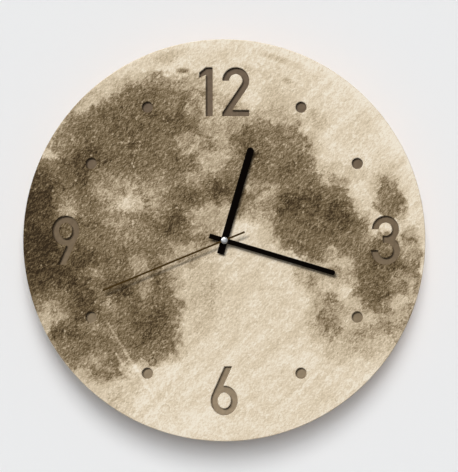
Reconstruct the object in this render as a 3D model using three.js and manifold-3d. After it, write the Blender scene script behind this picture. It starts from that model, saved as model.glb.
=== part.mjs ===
// LED wall clock: a printed disc with its hour marks cut through, lit by a shallow light box behind
// it. The hands run on a quartz movement, and the clock hangs on the wall by a keyhole slot.
//
// Millimetres. The clock is modelled lying on its back: x to the right of the dial, y up the dial and
// z from the wall towards the reader. The finished group is then stood up, with the dial facing -Y and
// the origin where the nail carries the keyhole slot, on the plane of the wall.
import * as THREE from "three";
import { mergeVertices } from "three/addons/utils/BufferGeometryUtils.js";
import Module from "manifold-3d";

const wasm = await Module();
wasm.setup();

// Clearances
const seam = 0.1; // between faces that are glued, screwed or clipped together
const runningGap = 0.3; // between pieces that move past each other
const fitGap = 0.3; // around a piece that sits in a window, pocket or tray
const pressGap = 0.1; // around a tube or pin that is pressed home

// Dial: the disc and the marks cut through it, placed by their margins from its rim
const dialDiameter = 300;
const dialThickness = 3;
const numeralHeight = 36.4;
const numeralWidth = 20;
const numeralStroke = 5;
const sixBowlHeight = 22;
const digitSpace = 7.3;
const twelveShift = 1.4; // the 2 begins this far left of the middle
const twelveMargin = 21;
const threeMargin = 19.7;
const sixMargin = 19.4;
const nineMargin = 21.7;
const dotDiameter = 8.2;
const dotMargin = 35.4;

// Light box behind the dial
const dialOverhang = 8;
const ringWall = 8;
const diffuserThickness = 2;
const backPanelThickness = 3;
const windowCorner = 4;
const windowBridge = 6; // panel left between the movement window and the battery window
const screwCount = 6;
const screwLength = 14;
const screwHeadRadius = 3;
const screwShankRadius = 1.4;
const screwFlush = 0.15; // how far the heads lie below the face of the panel

// Keyhole slot, measured from the hand axis to the nail
const hangHeight = 84;
const keyholeEntryRadius = 5.5;
const keyholeSlotWidth = 5.4;
const keyholeSlotLength = 10;

// Light strip and its two leads
const ledCount = 22;
const ledSize = 5;
const ledHeight = 1.6;
const stripWidth = 8;
const stripThickness = 0.4;
const stripStart = THREE.MathUtils.degToRad(-35); // where the leads are soldered on
const stripGap = THREE.MathUtils.degToRad(10); // left open between its two ends
const leadRadius = 0.7;
const leadExit = 8; // above the middle of the battery box
const leadStraight = 8; // out of the box before the lead bends
const leadAcross = 30; // from the box to the middle of the bend
const leadDrop = 6; // of the bend below the exit
const leadTurn = 14; // off the strip, where the lead turns in
const leadTail = 5; // straight end that is soldered on

// Battery cells: one in the movement and three for the lights
const cellDiameter = 14.2;
const cellLength = 50.5;
const cellNippleRadius = 2.7;
const cellNippleLength = 1;
const contactSpace = 1.55; // room for a contact strip at each end of a cell
const contactThickness = 0.4;
const contactWidth = 8;
const contactBumpHalf = 4;

// Battery box of the lights
const boxWall = 1.5;
const boxCells = 3;
const cellSpace = 0.4; // between two cells side by side
const cellRibWidth = 2;
const cellRibHeight = 2.5;
const boxFlange = 2.5;
const boxFlangeThickness = 1.2;
const doorThickness = 1.5;
const doorRecess = 0.8; // how far the door lies inside the wall plane
const doorRibHeight = 0.5;
const doorRibWidth = 1.2;
const doorRibLength = 16;
const doorRibPitch = 3;
const doorNotchRadius = 6;
const switchBlockWidth = 11;
const sliderSize = 4;
const sliderTravel = 3;
const sliderHeight = 2.6;
const switchBodyDepth = 4;
const switchBodyLength = 12;

// Quartz movement: housing and tray
const caseWall = 1.2;
const caseFrontWall = 1.5;
const caseCorner = 3;
const coverThickness = 1.5;
const bracketThickness = 1.5;
const bracketRim = 2;
const hookThickness = 1.5;
const hookWidth = 8;
const hookLip = 0.9;
const hookSpacing = 30;
const knobRecess = 4.4; // how far the knob lies inside the wall plane
const knobHeight = 2.8;
const knobRadius = 6.5;
const knobFlutes = 16;
const knobFluteDepth = 0.6;

// Gear train: arbor distances, tooth counts and the level of each mesh, counted from the rear cover
const thirdDistance = 9;
const intermediateDistance = thirdDistance + 0.3;
const motionDistance = thirdDistance + 0.6;
const rotorDistance = 7.9;
const thirdDirection = THREE.MathUtils.degToRad(150);
const intermediateDirection = THREE.MathUtils.degToRad(60);
const motionDirection = 0;
const rotorDirection = THREE.MathUtils.degToRad(90);
const rotorTeeth = 6;
const intermediateTeeth = 36;
const intermediatePinionTeeth = 8;
const secondsTeeth = 40;
const secondsPinionTeeth = 6;
const thirdTeeth = 45;
const thirdPinionTeeth = 6;
const centreTeeth = 48;
const cannonTeeth = 10;
const motionTeeth = 30;
const motionPinionTeeth = 8;
const hourTeeth = 32;
const wheelTooth = { addendum: 0.9, dedendum: 1.2, root: 0.5, tip: 0.16 };
const pinionLeaf = { addendum: 0.75, dedendum: 1.25, root: 0.4, tip: 0.18 };
const gearThickness = 1;
const pinionOverlap = 0.2;
const levelPitch = 2;
const firstLevel = 2;
const lastLevelSpace = 1;
const arborRadius = 0.4;
const motionArborRadius = 0.8;

// Tubes of the hands, one inside the other
const secondArborRadius = 0.4;
const tubeGap = 0.25;
const minuteTubeWall = 0.65;
const hourTubeWall = 0.4;
const bushingWall = 0.5;
const bushingFlange = 1;
const bushingFlangeThickness = 0.8;
const bushingRise = 1; // above the dial

// Step motor and its board
const magnetRadius = 3;
const magnetLength = 3.4;
const magnetAirGap = 0.4;
const statorThickness = 1;
const statorLeg = 2.2;
const statorPole = 2.4;
const statorLength = 32;
const coilLength = 18;
const coilRadius = 3.4;
const postRadius = 1.1;
const boardThickness = 1.2;
const boardWidth = 22;
const boardHeight = 19;
const chipRadius = 2.4;
const chipOffset = 4; // from the middle of the board
const crystalRadius = 1;
const crystalLength = 6;
const crystalInset = 5; // from the board's left edge

// Hands: flat bars with a rounded tip and a square tail
const hourHand = { length: 72, tail: 10.6, width: 5.2, thickness: 0.6, degrees: 16.2 };
const minuteHand = { length: 86, tail: 11.6, width: 3.7, thickness: 0.6, degrees: 106.6 };
const secondHand = { length: 98, tail: 16.4, width: 1.4, thickness: 0.4, degrees: 247.6 };
const colletHeight = 1.2;
const handSpace = 1.6; // between one hand and the next
const capRadius = 2.65;
const capHeight = 1.5;

// Number of facets on round pieces
const rimSides = 108;
const ringSides = 72;
const dotSides = 16;
const tubeSides = 16;
const screwSides = 10;
const cellSides = 16;
const arcSteps = 8;
const leadSides = 7;
const leadSteps = 11;

// Levels off the wall, from the panel to the hands
const cellRadius = cellDiameter / 2;
const levelsDepth = firstLevel + 5 * levelPitch + lastLevelSpace;
const caseDepth = coverThickness + levelsDepth + caseFrontWall;
const caseBack = knobRecess + knobHeight + runningGap;
const caseFront = caseBack + caseDepth;
const chamberBack = caseBack + coverThickness;
const chamberFront = caseFront - caseFrontWall;
const bracketBack = caseFront + seam;
const bracketFront = bracketBack + bracketThickness;
const ringBack = backPanelThickness + seam;
const ringFront = bracketFront;
const diffuserBack = ringFront + seam;
const diffuserFront = diffuserBack + diffuserThickness;
const dialBack = diffuserFront + seam;
const dialFront = dialBack + dialThickness;
const bushingFront = dialFront + bushingRise;
const hourHandBack = bushingFront + runningGap + colletHeight;
const minuteHandBack = hourHandBack + hourHand.thickness + handSpace;
const secondHandBack = minuteHandBack + minuteHand.thickness + handSpace;
const secondHandFront = secondHandBack + secondHand.thickness;

// Radii and outlines that several pieces share
const dialRadius = dialDiameter / 2;
const ringOuterRadius = dialRadius - dialOverhang;
const ringInnerRadius = ringOuterRadius - ringWall;
const screwCircleRadius = ringOuterRadius - ringWall / 2;
const minuteTubeBore = secondArborRadius + tubeGap;
const minuteTubeRadius = minuteTubeBore + minuteTubeWall;
const hourTubeBore = minuteTubeRadius + tubeGap;
const hourTubeRadius = hourTubeBore + hourTubeWall;
const bushingBore = hourTubeRadius + tubeGap;
const bushingRadius = bushingBore + bushingWall;
const shaftHoleRadius = bushingRadius + fitGap;
const caseWidth = cellLength + 2 * (contactSpace + caseWall);
const bracketWidth = caseWidth + 2 * (fitGap + hookThickness + bracketRim);
const movementWindow = bracketWidth;
const boxCavityLength = cellLength + 2 * contactSpace;
const boxCavityWidth = boxCells * cellDiameter + (boxCells + 1) * cellSpace;
const boxWidth = boxCavityWidth + 2 * boxWall;
const boxLength = boxCavityLength + 2 * boxWall + switchBlockWidth;
const batteryWindowTop = -movementWindow / 2 - windowBridge;
const boxCentreY = batteryWindowTop - fitGap - boxWidth / 2;
const boxLeft = -boxLength / 2;
const boxRight = boxLength / 2;
const cavityLeft = boxLeft + boxWall;
const cavityRight = cavityLeft + boxCavityLength;
const doorFront = doorRecess + doorThickness;
const rimBack = doorFront + fitGap;
const boxCellLevel = rimBack + fitGap + cellRadius;
const boxFloor = boxCellLevel + cellRadius + fitGap;
const boxFront = boxFloor + boxWall;

// Outlines

function disc(radius, sides, x = 0, y = 0) {
  const corner = (_, i) => {
    const angle = (2 * Math.PI * i) / sides;
    return new THREE.Vector2(x + radius * Math.cos(angle), y + radius * Math.sin(angle));
  };
  return new THREE.Shape(Array.from({ length: sides }, corner));
}

// The radius of a faceted hole whose flats keep the gap to the pin or tube inside it
function holeRadius(pinRadius, gap, sides = tubeSides) {
  return (pinRadius + gap) / Math.cos(Math.PI / sides);
}

function rectangle(width, height, x = 0, y = 0) {
  const [w, h] = [width / 2, height / 2];
  const corners = [[-w, -h], [w, -h], [w, h], [-w, h]];
  return new THREE.Shape(corners.map(([u, v]) => new THREE.Vector2(x + u, y + v)));
}

function roundedRectangle(width, height, corner, x = 0, y = 0) {
  const [w, h] = [width / 2 - corner, height / 2 - corner];
  const shape = new THREE.Shape();
  shape.absarc(x + w, y - h, corner, -Math.PI / 2, 0);
  shape.absarc(x + w, y + h, corner, 0, Math.PI / 2);
  shape.absarc(x - w, y + h, corner, Math.PI / 2, Math.PI);
  shape.absarc(x - w, y - h, corner, Math.PI, 1.5 * Math.PI);
  return shape;
}

// The same outline turned and moved on the dial
function moved(shape, x, y, turn = 0) {
  const points = shape.extractPoints(arcSteps).shape;
  const centre = new THREE.Vector2();
  return new THREE.Shape(points.map((p) => p.rotateAround(centre, turn).add(new THREE.Vector2(x, y))));
}

// Solids

function slab(shape, back, front, curveSegments = arcSteps) {
  const settings = { depth: front - back, bevelEnabled: false, curveSegments };
  return new THREE.ExtrudeGeometry(shape, settings).translate(0, 0, back);
}

// A turned solid about z, from its profile of [radius, height], counted anticlockwise
function turned(profile, sides = tubeSides) {
  const points = profile.map(([radius, height]) => new THREE.Vector2(radius, height));
  return new THREE.LatheGeometry(points, sides).rotateX(Math.PI / 2);
}

function rod(radius, back, front, sides = tubeSides) {
  return turned([[0, back], [radius, back], [radius, front], [0, front]], sides);
}

function tube(bore, radius, back, front, sides = tubeSides) {
  return turned([[bore, back], [radius, back], [radius, front], [bore, front], [bore, back]], sides);
}

function block(x0, x1, y0, y1, z0, z1) {
  const size = new THREE.BoxGeometry(x1 - x0, y1 - y0, z1 - z0);
  return size.translate((x0 + x1) / 2, (y0 + y1) / 2, (z0 + z1) / 2);
}

function solidOf(geometry) {
  const bare = geometry.clone();
  bare.deleteAttribute("normal");
  bare.deleteAttribute("uv");
  const welded = mergeVertices(bare, 1e-4);
  const vertProperties = welded.attributes.position.array;
  const triVerts = new Uint32Array(welded.index.array);
  return new wasm.Manifold(new wasm.Mesh({ numProp: 3, vertProperties, triVerts }));
}

function geometryOf(solid) {
  const { vertProperties, triVerts } = solid.getMesh();
  const geometry = new THREE.BufferGeometry();
  geometry.setAttribute("position", new THREE.BufferAttribute(vertProperties, 3));
  geometry.setIndex(new THREE.BufferAttribute(triVerts, 1));
  return geometry;
}

function joined(...pieces) {
  return geometryOf(pieces.map(solidOf).reduce((whole, piece) => whole.add(piece)));
}

function cut(base, ...tools) {
  return geometryOf(tools.map(solidOf).reduce((rest, tool) => rest.subtract(tool), solidOf(base)));
}

// Finishes

const finishes = {
  print: { color: 0xc9b18c, roughness: 0.6, metalness: 0 },
  board: { color: 0xa47d54, roughness: 0.8, metalness: 0 },
  opal: { color: 0x7d6f60, roughness: 0.45, metalness: 0 },
  blackPlastic: { color: 0x1b1b1c, roughness: 0.5, metalness: 0 },
  whitePlastic: { color: 0xe8e6df, roughness: 0.4, metalness: 0 },
  handPaint: { color: 0x0c0b0b, roughness: 0.4, metalness: 0 },
  steel: { color: 0x9a9c9f, roughness: 0.35, metalness: 1 },
  brass: { color: 0xb8924a, roughness: 0.35, metalness: 1 },
  silver: { color: 0xc8c8c6, roughness: 0.3, metalness: 1 },
  copper: { color: 0xa9623a, roughness: 0.4, metalness: 1 },
  greenBoard: { color: 0x1f5d38, roughness: 0.5, metalness: 0 },
  cellJacket: { color: 0x44474a, roughness: 0.35, metalness: 0.3 },
  redLead: { color: 0xa5231f, roughness: 0.5, metalness: 0 },
  blackLead: { color: 0x161616, roughness: 0.5, metalness: 0 },
};

// The clock's own group, lying on its back, inside the part's group
const clock = new THREE.Group();

function place(name, finish, geometry, x = 0, y = 0, turn = 0) {
  const mesh = new THREE.Mesh(geometry, new THREE.MeshStandardMaterial(finishes[finish]));
  mesh.name = name;
  mesh.position.set(x, y, 0);
  mesh.rotation.z = turn;
  clock.add(mesh);
}

// Figures, each drawn about its own centre with the stroke's true width

// A stem with a slanted flag at its left
function figureOne() {
  const [right, top] = [numeralStroke, numeralHeight / 2];
  const flagReach = 5;
  const flagDrop = 4;
  const flagDepth = 3.9;
  const flagSlope = flagDrop / flagReach;
  const outline = [
    [0, -top],
    [right, -top],
    [right, top],
    [0, top],
    [-flagReach, top - flagDrop],
    [-flagReach, top - flagDrop - flagDepth],
    [0, top - flagDepth - flagDrop + flagReach * flagSlope * 0.6],
  ];
  return new THREE.Shape(outline.map(([x, y]) => new THREE.Vector2(x, y)));
}

// A round top that runs by a tangent into the diagonal, on a flat foot
function figureTwo() {
  const radius = numeralWidth / 2;
  const bottom = -numeralHeight / 2;
  const centreY = numeralHeight / 2 - radius;
  const footTop = bottom + numeralStroke * 0.9;
  const footStart = new THREE.Vector2(-radius + numeralStroke * 1.46, footTop);
  const toCentre = new THREE.Vector2(0, centreY).sub(footStart);
  const slope = toCentre.angle() - Math.asin(radius / toCentre.length());
  const leaving = slope - Math.PI / 2;
  const innerRadius = radius - numeralStroke;
  const innerX = innerRadius * Math.cos(leaving);
  const innerY = centreY + innerRadius * Math.sin(leaving);
  const innerFootY = innerY - (innerX + radius) * Math.tan(slope);
  const shape = new THREE.Shape();
  shape.moveTo(-radius, bottom);
  shape.lineTo(radius, bottom);
  shape.lineTo(radius, footTop);
  shape.lineTo(footStart.x, footStart.y);
  shape.absarc(0, centreY, radius, leaving, Math.PI);
  shape.absarc(0, centreY, innerRadius, Math.PI, leaving, true);
  shape.lineTo(-radius, innerFootY);
  return shape;
}

// Two open bowls, the lower one a little larger, that share the middle stroke
function figureThree() {
  const bowls = (numeralHeight + numeralStroke) / 2;
  const lower = bowls / 2 + 0.35;
  const upper = bowls - lower;
  const upperY = numeralHeight / 2 - upper;
  const lowerY = lower - numeralHeight / 2;
  const waistY = (upper ** 2 - lower ** 2 + lowerY ** 2 - upperY ** 2) / (2 * (lowerY - upperY));
  const middleLeft = -2;
  const shape = new THREE.Shape();
  shape.absarc(0, upperY, upper, Math.PI, Math.asin((waistY - upperY) / upper), true);
  shape.absarc(0, lowerY, lower, Math.asin((waistY - lowerY) / lower), -Math.PI, true);
  shape.absarc(0, lowerY, lower - numeralStroke, -Math.PI, Math.PI / 2);
  shape.lineTo(middleLeft, lowerY + lower - numeralStroke);
  shape.lineTo(middleLeft, upperY - upper + numeralStroke);
  shape.absarc(0, upperY, upper - numeralStroke, -Math.PI / 2, Math.PI);
  return shape;
}

const sixBowlY = sixBowlHeight / 2 - numeralHeight / 2;

// The filled outline: an oval bowl with a straight stem that leaves it by a tangent
function figureSix() {
  const [a, b] = [numeralWidth / 2, sixBowlHeight / 2];
  const top = numeralHeight / 2;
  const stemLeft = 0.2;
  const stemFoot = THREE.MathUtils.degToRad(94);
  // On the oval squeezed to a circle, the tangent point follows from the distance to the stem's top
  const reach = new THREE.Vector2(stemLeft, ((top - sixBowlY) * a) / b);
  const tangent = reach.angle() + Math.acos(a / reach.length());
  const touch = new THREE.Vector2(a * Math.cos(tangent), sixBowlY + b * Math.sin(tangent));
  const lean = (stemLeft - touch.x) / (top - touch.y);
  const footX = a * Math.cos(stemFoot);
  const footY = sixBowlY + b * Math.sin(stemFoot);
  const shape = new THREE.Shape();
  shape.moveTo(stemLeft, top);
  shape.lineTo(footX + lean * (top - footY), top);
  shape.absellipse(0, sixBowlY, a, b, stemFoot, tangent - 2 * Math.PI, true);
  return shape;
}

function sixCounter() {
  const shape = new THREE.Shape();
  const [a, b] = [numeralWidth / 2 - numeralStroke, sixBowlHeight / 2 - numeralStroke];
  shape.absellipse(0, sixBowlY, a, b, 0, 2 * Math.PI);
  return shape;
}

// Dial

const twelveY = dialRadius - twelveMargin - numeralHeight / 2;
const threeX = dialRadius - threeMargin - numeralWidth / 2;
const sixY = -(dialRadius - sixMargin - numeralHeight / 2);
const nineX = -(dialRadius - nineMargin - numeralWidth / 2);
const dotCircleRadius = dialRadius - dotMargin;

function dialPanel() {
  const marks = [
    moved(figureOne(), -digitSpace - numeralStroke - twelveShift, twelveY),
    moved(figureTwo(), numeralWidth / 2 - twelveShift, twelveY),
    moved(figureThree(), threeX, 0),
    moved(figureSix(), 0, sixY),
    moved(figureSix(), nineX, 0, Math.PI),
    disc(shaftHoleRadius, tubeSides),
  ];
  for (const hour of [1, 2, 4, 5, 7, 8, 10, 11]) {
    const angle = (hour * Math.PI) / 6;
    const [x, y] = [dotCircleRadius * Math.sin(angle), dotCircleRadius * Math.cos(angle)];
    marks.push(disc(dotDiameter / 2, dotSides, x, y));
  }
  const through = marks.map((mark) => slab(mark, dialBack - seam, dialFront + seam));
  return cut(slab(disc(dialRadius, rimSides), dialBack, dialFront), ...through);
}

place("dial_panel", "print", dialPanel());
place("six_counter", "print", slab(sixCounter(), dialBack, dialFront), 0, sixY);
place("nine_counter", "print", slab(sixCounter(), dialBack, dialFront), nineX, 0, Math.PI);

// Light box

function diffuser() {
  const sheet = disc(ringOuterRadius, ringSides);
  sheet.holes.push(disc(shaftHoleRadius, tubeSides));
  return slab(sheet, diffuserBack, diffuserFront);
}

const screwAngles = Array.from({ length: screwCount }, (_, i) => (2 * Math.PI * (i + 0.5)) / screwCount);

function atScrews(tool) {
  const onCircle = (angle) => {
    const x = screwCircleRadius * Math.cos(angle);
    const y = screwCircleRadius * Math.sin(angle);
    return tool().translate(x, y, 0);
  };
  return screwAngles.map(onCircle);
}

function spacerRing() {
  const ring = tube(ringInnerRadius, ringOuterRadius, ringBack, ringFront, ringSides);
  const pilotRadius = holeRadius(screwShankRadius, pressGap, screwSides);
  const pilot = () => rod(pilotRadius, 0, screwFlush + screwLength + seam, screwSides);
  return cut(ring, ...atScrews(pilot));
}

const screwHeadHeight = screwHeadRadius - screwShankRadius;

function backScrew() {
  const tip = screwFlush + screwLength;
  const neck = screwFlush + screwHeadHeight;
  const profile = [
    [0, screwFlush],
    [screwHeadRadius, screwFlush],
    [screwShankRadius, neck],
    [screwShankRadius, tip - 2 * screwShankRadius],
    [0, tip],
  ];
  return turned(profile, screwSides);
}

function countersink() {
  const head = holeRadius(screwHeadRadius, pressGap, screwSides) + screwFlush;
  const shank = holeRadius(screwShankRadius, pressGap, screwSides);
  const profile = [
    [0, -seam],
    [head + seam, -seam],
    [shank, head - shank],
    [shank, ringBack],
    [0, ringBack],
  ];
  return turned(profile, screwSides);
}

// A round entry for the nail's head with a narrow slot above it that drops onto the shank
function keyhole() {
  const half = keyholeSlotWidth / 2;
  const entryY = hangHeight - keyholeSlotLength;
  const mouth = Math.asin(half / keyholeEntryRadius);
  const shape = new THREE.Shape();
  shape.absarc(0, hangHeight, half, 0, Math.PI);
  shape.absarc(0, entryY, keyholeEntryRadius, Math.PI / 2 + mouth, 2.5 * Math.PI - mouth);
  return shape;
}

function backPanel() {
  const board = disc(ringOuterRadius, ringSides);
  const batteryWindow = [boxLength + 2 * fitGap, boxWidth + 2 * fitGap];
  board.holes.push(roundedRectangle(movementWindow, movementWindow, windowCorner));
  board.holes.push(rectangle(...batteryWindow, 0, boxCentreY));
  board.holes.push(keyhole());
  return cut(slab(board, 0, backPanelThickness, 5), ...atScrews(countersink));
}

place("diffuser", "opal", diffuser());
place("spacer_ring", "board", spacerRing());
place("back_panel", "board", backPanel());
atScrews(backScrew).forEach((screw, i) => place(`back_screw_${i + 1}`, "steel", screw));

// Light strip, stuck round the inside of the ring, with one open place where the leads are soldered on

const stripRadius = ringInnerRadius - seam;
const stripLevel = (ringBack + ringFront) / 2;

function ledStrip() {
  const facet = (2 * Math.PI) / ringSides;
  const start = facet * Math.round(stripStart / facet);
  const facets = Math.round((2 * Math.PI - stripGap) / facet);
  const along = (radius) => {
    const spot = (_, i) => {
      const angle = start + i * facet;
      return new THREE.Vector2(radius * Math.cos(angle), radius * Math.sin(angle));
    };
    return Array.from({ length: facets + 1 }, spot);
  };
  const outline = [...along(stripRadius), ...along(stripRadius - stripThickness).reverse()];
  const [back, front] = [stripLevel - stripWidth / 2, stripLevel + stripWidth / 2];
  const band = slab(new THREE.Shape(outline), back, front);
  const flat = (stripRadius - stripThickness) * Math.cos(facet / 2);
  const lamps = Array.from({ length: ledCount }, (_, i) => {
    const step = Math.floor(((i + 0.5) * facets) / ledCount);
    const lamp = new THREE.BoxGeometry(ledHeight, ledSize, ledSize);
    // Each lamp sits on the middle of a flat, let a little into the band
    lamp.translate(flat - ledHeight / 2 + stripThickness / 2, 0, stripLevel);
    return lamp.rotateZ(start + (step + 0.5) * facet);
  });
  return joined(band, ...lamps);
}

// A lead runs from the end of the battery box across the light box to the end of the strip
function lead(offset) {
  const level = stripLevel + offset;
  const y = boxCentreY + leadExit;
  const radius = stripRadius * Math.cos(Math.PI / ringSides) - stripThickness - fitGap;
  const angle = stripStart + (2 * Math.PI) / ringSides / 2;
  const end = new THREE.Vector3(radius * Math.cos(angle), radius * Math.sin(angle), level);
  const inward = new THREE.Vector3(-Math.cos(angle), -Math.sin(angle), 0);
  const points = [
    new THREE.Vector3(boxRight + fitGap, y, level),
    new THREE.Vector3(boxRight + leadStraight, y, level),
    new THREE.Vector3(boxRight + leadAcross, y - leadDrop, level),
    end.clone().addScaledVector(inward, leadTurn),
    end.clone().addScaledVector(inward, leadTail),
    end,
  ];
  const extrudePath = new THREE.CatmullRomCurve3(points);
  return new THREE.ExtrudeGeometry(disc(leadRadius, leadSides), { steps: leadSteps, extrudePath });
}

place("led_strip", "whitePlastic", ledStrip());
place("lead_red", "redLead", lead(-leadRadius - fitGap));
place("lead_black", "blackLead", lead(leadRadius + fitGap));

// Battery cells and contact strips

function cell(x, y, level, turn) {
  const half = cellLength / 2;
  const shoulder = half - cellNippleLength;
  const profile = [
    [0, -half],
    [cellRadius, -half],
    [cellRadius, shoulder],
    [cellNippleRadius, shoulder],
    [cellNippleRadius, half],
    [0, half],
  ];
  return turned(profile, cellSides).rotateY(turn * (Math.PI / 2)).translate(x, y, level);
}

// A strip of sheet metal against the wall, bowed out in front of each cell that it touches
function contactStrip(x, inward, cellsY, level) {
  const bow = contactSpace - contactThickness - seam - pressGap;
  const wall = x + inward * seam;
  const face = wall + inward * contactThickness;
  const shape = new THREE.Shape();
  shape.moveTo(wall, cellsY[0] - contactBumpHalf - 1);
  for (const y of cellsY) {
    shape.lineTo(wall, y - contactBumpHalf);
    shape.quadraticCurveTo(wall + 2 * inward * bow, y, wall, y + contactBumpHalf);
  }
  const end = cellsY[cellsY.length - 1] + contactBumpHalf + 1;
  shape.lineTo(wall, end);
  shape.lineTo(face, end);
  for (const y of [...cellsY].reverse()) {
    shape.lineTo(face, y + contactBumpHalf);
    shape.quadraticCurveTo(face + 2 * inward * bow, y, face, y - contactBumpHalf);
  }
  shape.lineTo(face, cellsY[0] - contactBumpHalf - 1);
  return slab(shape, level - contactWidth / 2, level + contactWidth / 2, 6);
}

// Battery box of the lights, let into the rear panel, with a slide switch in its solid end

const cellPitch = cellDiameter + cellSpace;
const boxCellsY = [-1, 0, 1].map((row) => boxCentreY + row * cellPitch);
const cavityCentre = (cavityLeft + cavityRight) / 2;
const switchX = (cavityRight + boxWall + boxRight) / 2;
const switchSlot = sliderSize + sliderTravel + 2 * fitGap;
const sliderBack = screwFlush;
const sliderFront = sliderBack + sliderHeight;
const switchFloor = sliderFront + fitGap + switchBodyDepth;

function batteryBox() {
  const outer = slab(rectangle(boxLength, boxWidth, 0, boxCentreY), rimBack, boxFront);
  const flangeSize = [boxLength + 2 * boxFlange, boxWidth + 2 * boxFlange];
  const flangeBack = backPanelThickness + seam;
  const flange = slab(rectangle(...flangeSize, 0, boxCentreY), flangeBack, flangeBack + boxFlangeThickness);
  const [low, high] = [boxCentreY - boxCavityWidth / 2, boxCentreY + boxCavityWidth / 2];
  const cavity = block(cavityLeft, cavityRight, low, high, 0, boxFloor);
  const endBlock = block(cavityRight + boxWall, boxRight, boxCentreY - boxWidth / 2,
    boxCentreY + boxWidth / 2, doorRecess, rimBack + boxWall);
  const half = sliderSize / 2 + fitGap;
  const slot = block(switchX - half, switchX + half, boxCentreY - switchSlot / 2,
    boxCentreY + switchSlot / 2, 0, switchFloor);
  const well = block(switchX - half, switchX + half, boxCentreY - switchBodyLength / 2 - fitGap,
    boxCentreY + switchBodyLength / 2 + fitGap, sliderFront, switchFloor + fitGap);
  const ribs = [-0.5, 0.5].map((row) => {
    const y = boxCentreY + row * cellPitch;
    const [y0, y1] = [y - cellRibWidth / 2, y + cellRibWidth / 2];
    return block(cavityLeft - seam, cavityRight + seam, y0, y1, boxFloor - cellRibHeight, boxFloor + seam);
  });
  return joined(cut(joined(outer, flange, endBlock), cavity, slot, well), ...ribs);
}

// A plate with a finger notch and three grip ridges at the end that lifts first
function batteryDoor() {
  const right = cavityRight + boxWall - fitGap;
  const plate = rectangle(right - boxLeft, boxWidth, (boxLeft + right) / 2, boxCentreY);
  const notch = disc(doorNotchRadius, 2 * dotSides, right, boxCentreY);
  const body = cut(slab(plate, doorRecess, doorFront), slab(notch, 0, doorFront + seam));
  const ridges = [1, 2, 3].map((row) => {
    const x = right - doorNotchRadius - row * doorRibPitch;
    const ridge = rectangle(doorRibWidth, doorRibLength, x, boxCentreY);
    return slab(ridge, doorRecess - doorRibHeight, doorFront - seam);
  });
  return joined(body, ...ridges);
}

function switchBody() {
  const half = sliderSize / 2;
  const [back, front] = [sliderFront + fitGap, switchFloor];
  return block(switchX - half, switchX + half, boxCentreY - switchBodyLength / 2,
    boxCentreY + switchBodyLength / 2, back, front);
}

// The slider rests at the lower end of its slot, with grip steps across its top
function switchSlider() {
  const half = sliderSize / 2;
  const low = boxCentreY - switchSlot / 2 + fitGap;
  const body = block(switchX - half, switchX + half, low, low + sliderSize, sliderBack, sliderFront);
  const grooves = [0.3, 0.7].map((share) => {
    const y = low + share * sliderSize;
    return block(switchX - sliderSize, switchX + sliderSize, y - 0.3, y + 0.3, 0, sliderBack + 0.5);
  });
  return cut(body, ...grooves);
}

place("battery_box", "blackPlastic", batteryBox());
place("battery_door", "blackPlastic", batteryDoor());
boxCellsY.forEach((y, i) => {
  place(`led_cell_${i + 1}`, "cellJacket", cell(cavityCentre, y, boxCellLevel, i % 2 ? 1 : -1));
});
place("box_contact_plus", "steel", contactStrip(cavityLeft, 1, [boxCellsY[2]], boxCellLevel));
place("box_contact_minus", "steel", contactStrip(cavityRight, -1, [boxCellsY[0]], boxCellLevel));
place("box_link_left", "steel", contactStrip(cavityLeft, 1, boxCellsY.slice(0, 2), boxCellLevel));
place("box_link_right", "steel", contactStrip(cavityRight, -1, boxCellsY.slice(1), boxCellLevel));
place("switch_body", "steel", switchBody());
place("switch_slider", "whitePlastic", switchSlider());

// Movement housing: a gear chamber closed by the cover, and an open bay for the cell below it

const caseHalf = caseWidth / 2;
const bayWidth = cellDiameter + 2 * fitGap;
const bayBottom = -caseHalf + caseWall;
const bayTop = bayBottom + bayWidth;
const chamberBottom = bayTop + caseWall;
const chamberTop = caseHalf - caseWall;
const bayFloor = caseFront - caseWall;
const bayCellLevel = bayFloor - fitGap - cellRadius;
const bayCellY = (bayBottom + bayTop) / 2;
const coreY = chamberTop - fitGap - coilRadius;
const statorTop = coreY + statorLeg / 2;
const polar = (distance, angle) => [distance * Math.cos(angle), distance * Math.sin(angle)];
const thirdSpot = polar(thirdDistance, thirdDirection);
const intermediateSpot = polar(intermediateDistance, intermediateDirection);
const motionSpot = polar(motionDistance, motionDirection);
const rotorStep = polar(rotorDistance, rotorDirection);
const rotorSpot = [intermediateSpot[0] + rotorStep[0], intermediateSpot[1] + rotorStep[1]];
const gearLevel = (level) => chamberBack + firstLevel + level * levelPitch;
const statorLevel = gearLevel(3);
const statorRight = rotorSpot[0] + magnetRadius + magnetAirGap + statorPole;
const statorLeft = statorRight - statorLength;
const statorBottom = rotorSpot[1] - magnetRadius - magnetAirGap - statorLeg / 2;

function movementCase() {
  const outer = slab(roundedRectangle(caseWidth, caseWidth, caseCorner), caseBack, caseFront, 3);
  const inside = caseHalf - caseWall;
  const chamber = block(-inside, inside, chamberBottom, chamberTop, 0, chamberFront);
  const bay = block(-inside, inside, bayBottom, bayTop, 0, bayFloor);
  const seat = block(-caseWidth, caseWidth, bayTop + caseWall / 2, caseWidth, 0, chamberBack);
  const shaft = rod(holeRadius(bushingRadius, pressGap), 0, caseFront + seam);
  const posts = [statorLeft + postRadius, statorRight - postRadius].map((x) => {
    const post = rod(postRadius, statorLevel + statorThickness / 2 + seam, chamberFront + seam, 10);
    return post.translate(x, coreY, 0);
  });
  return joined(cut(outer, chamber, bay, seat, shaft), ...posts);
}

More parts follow.
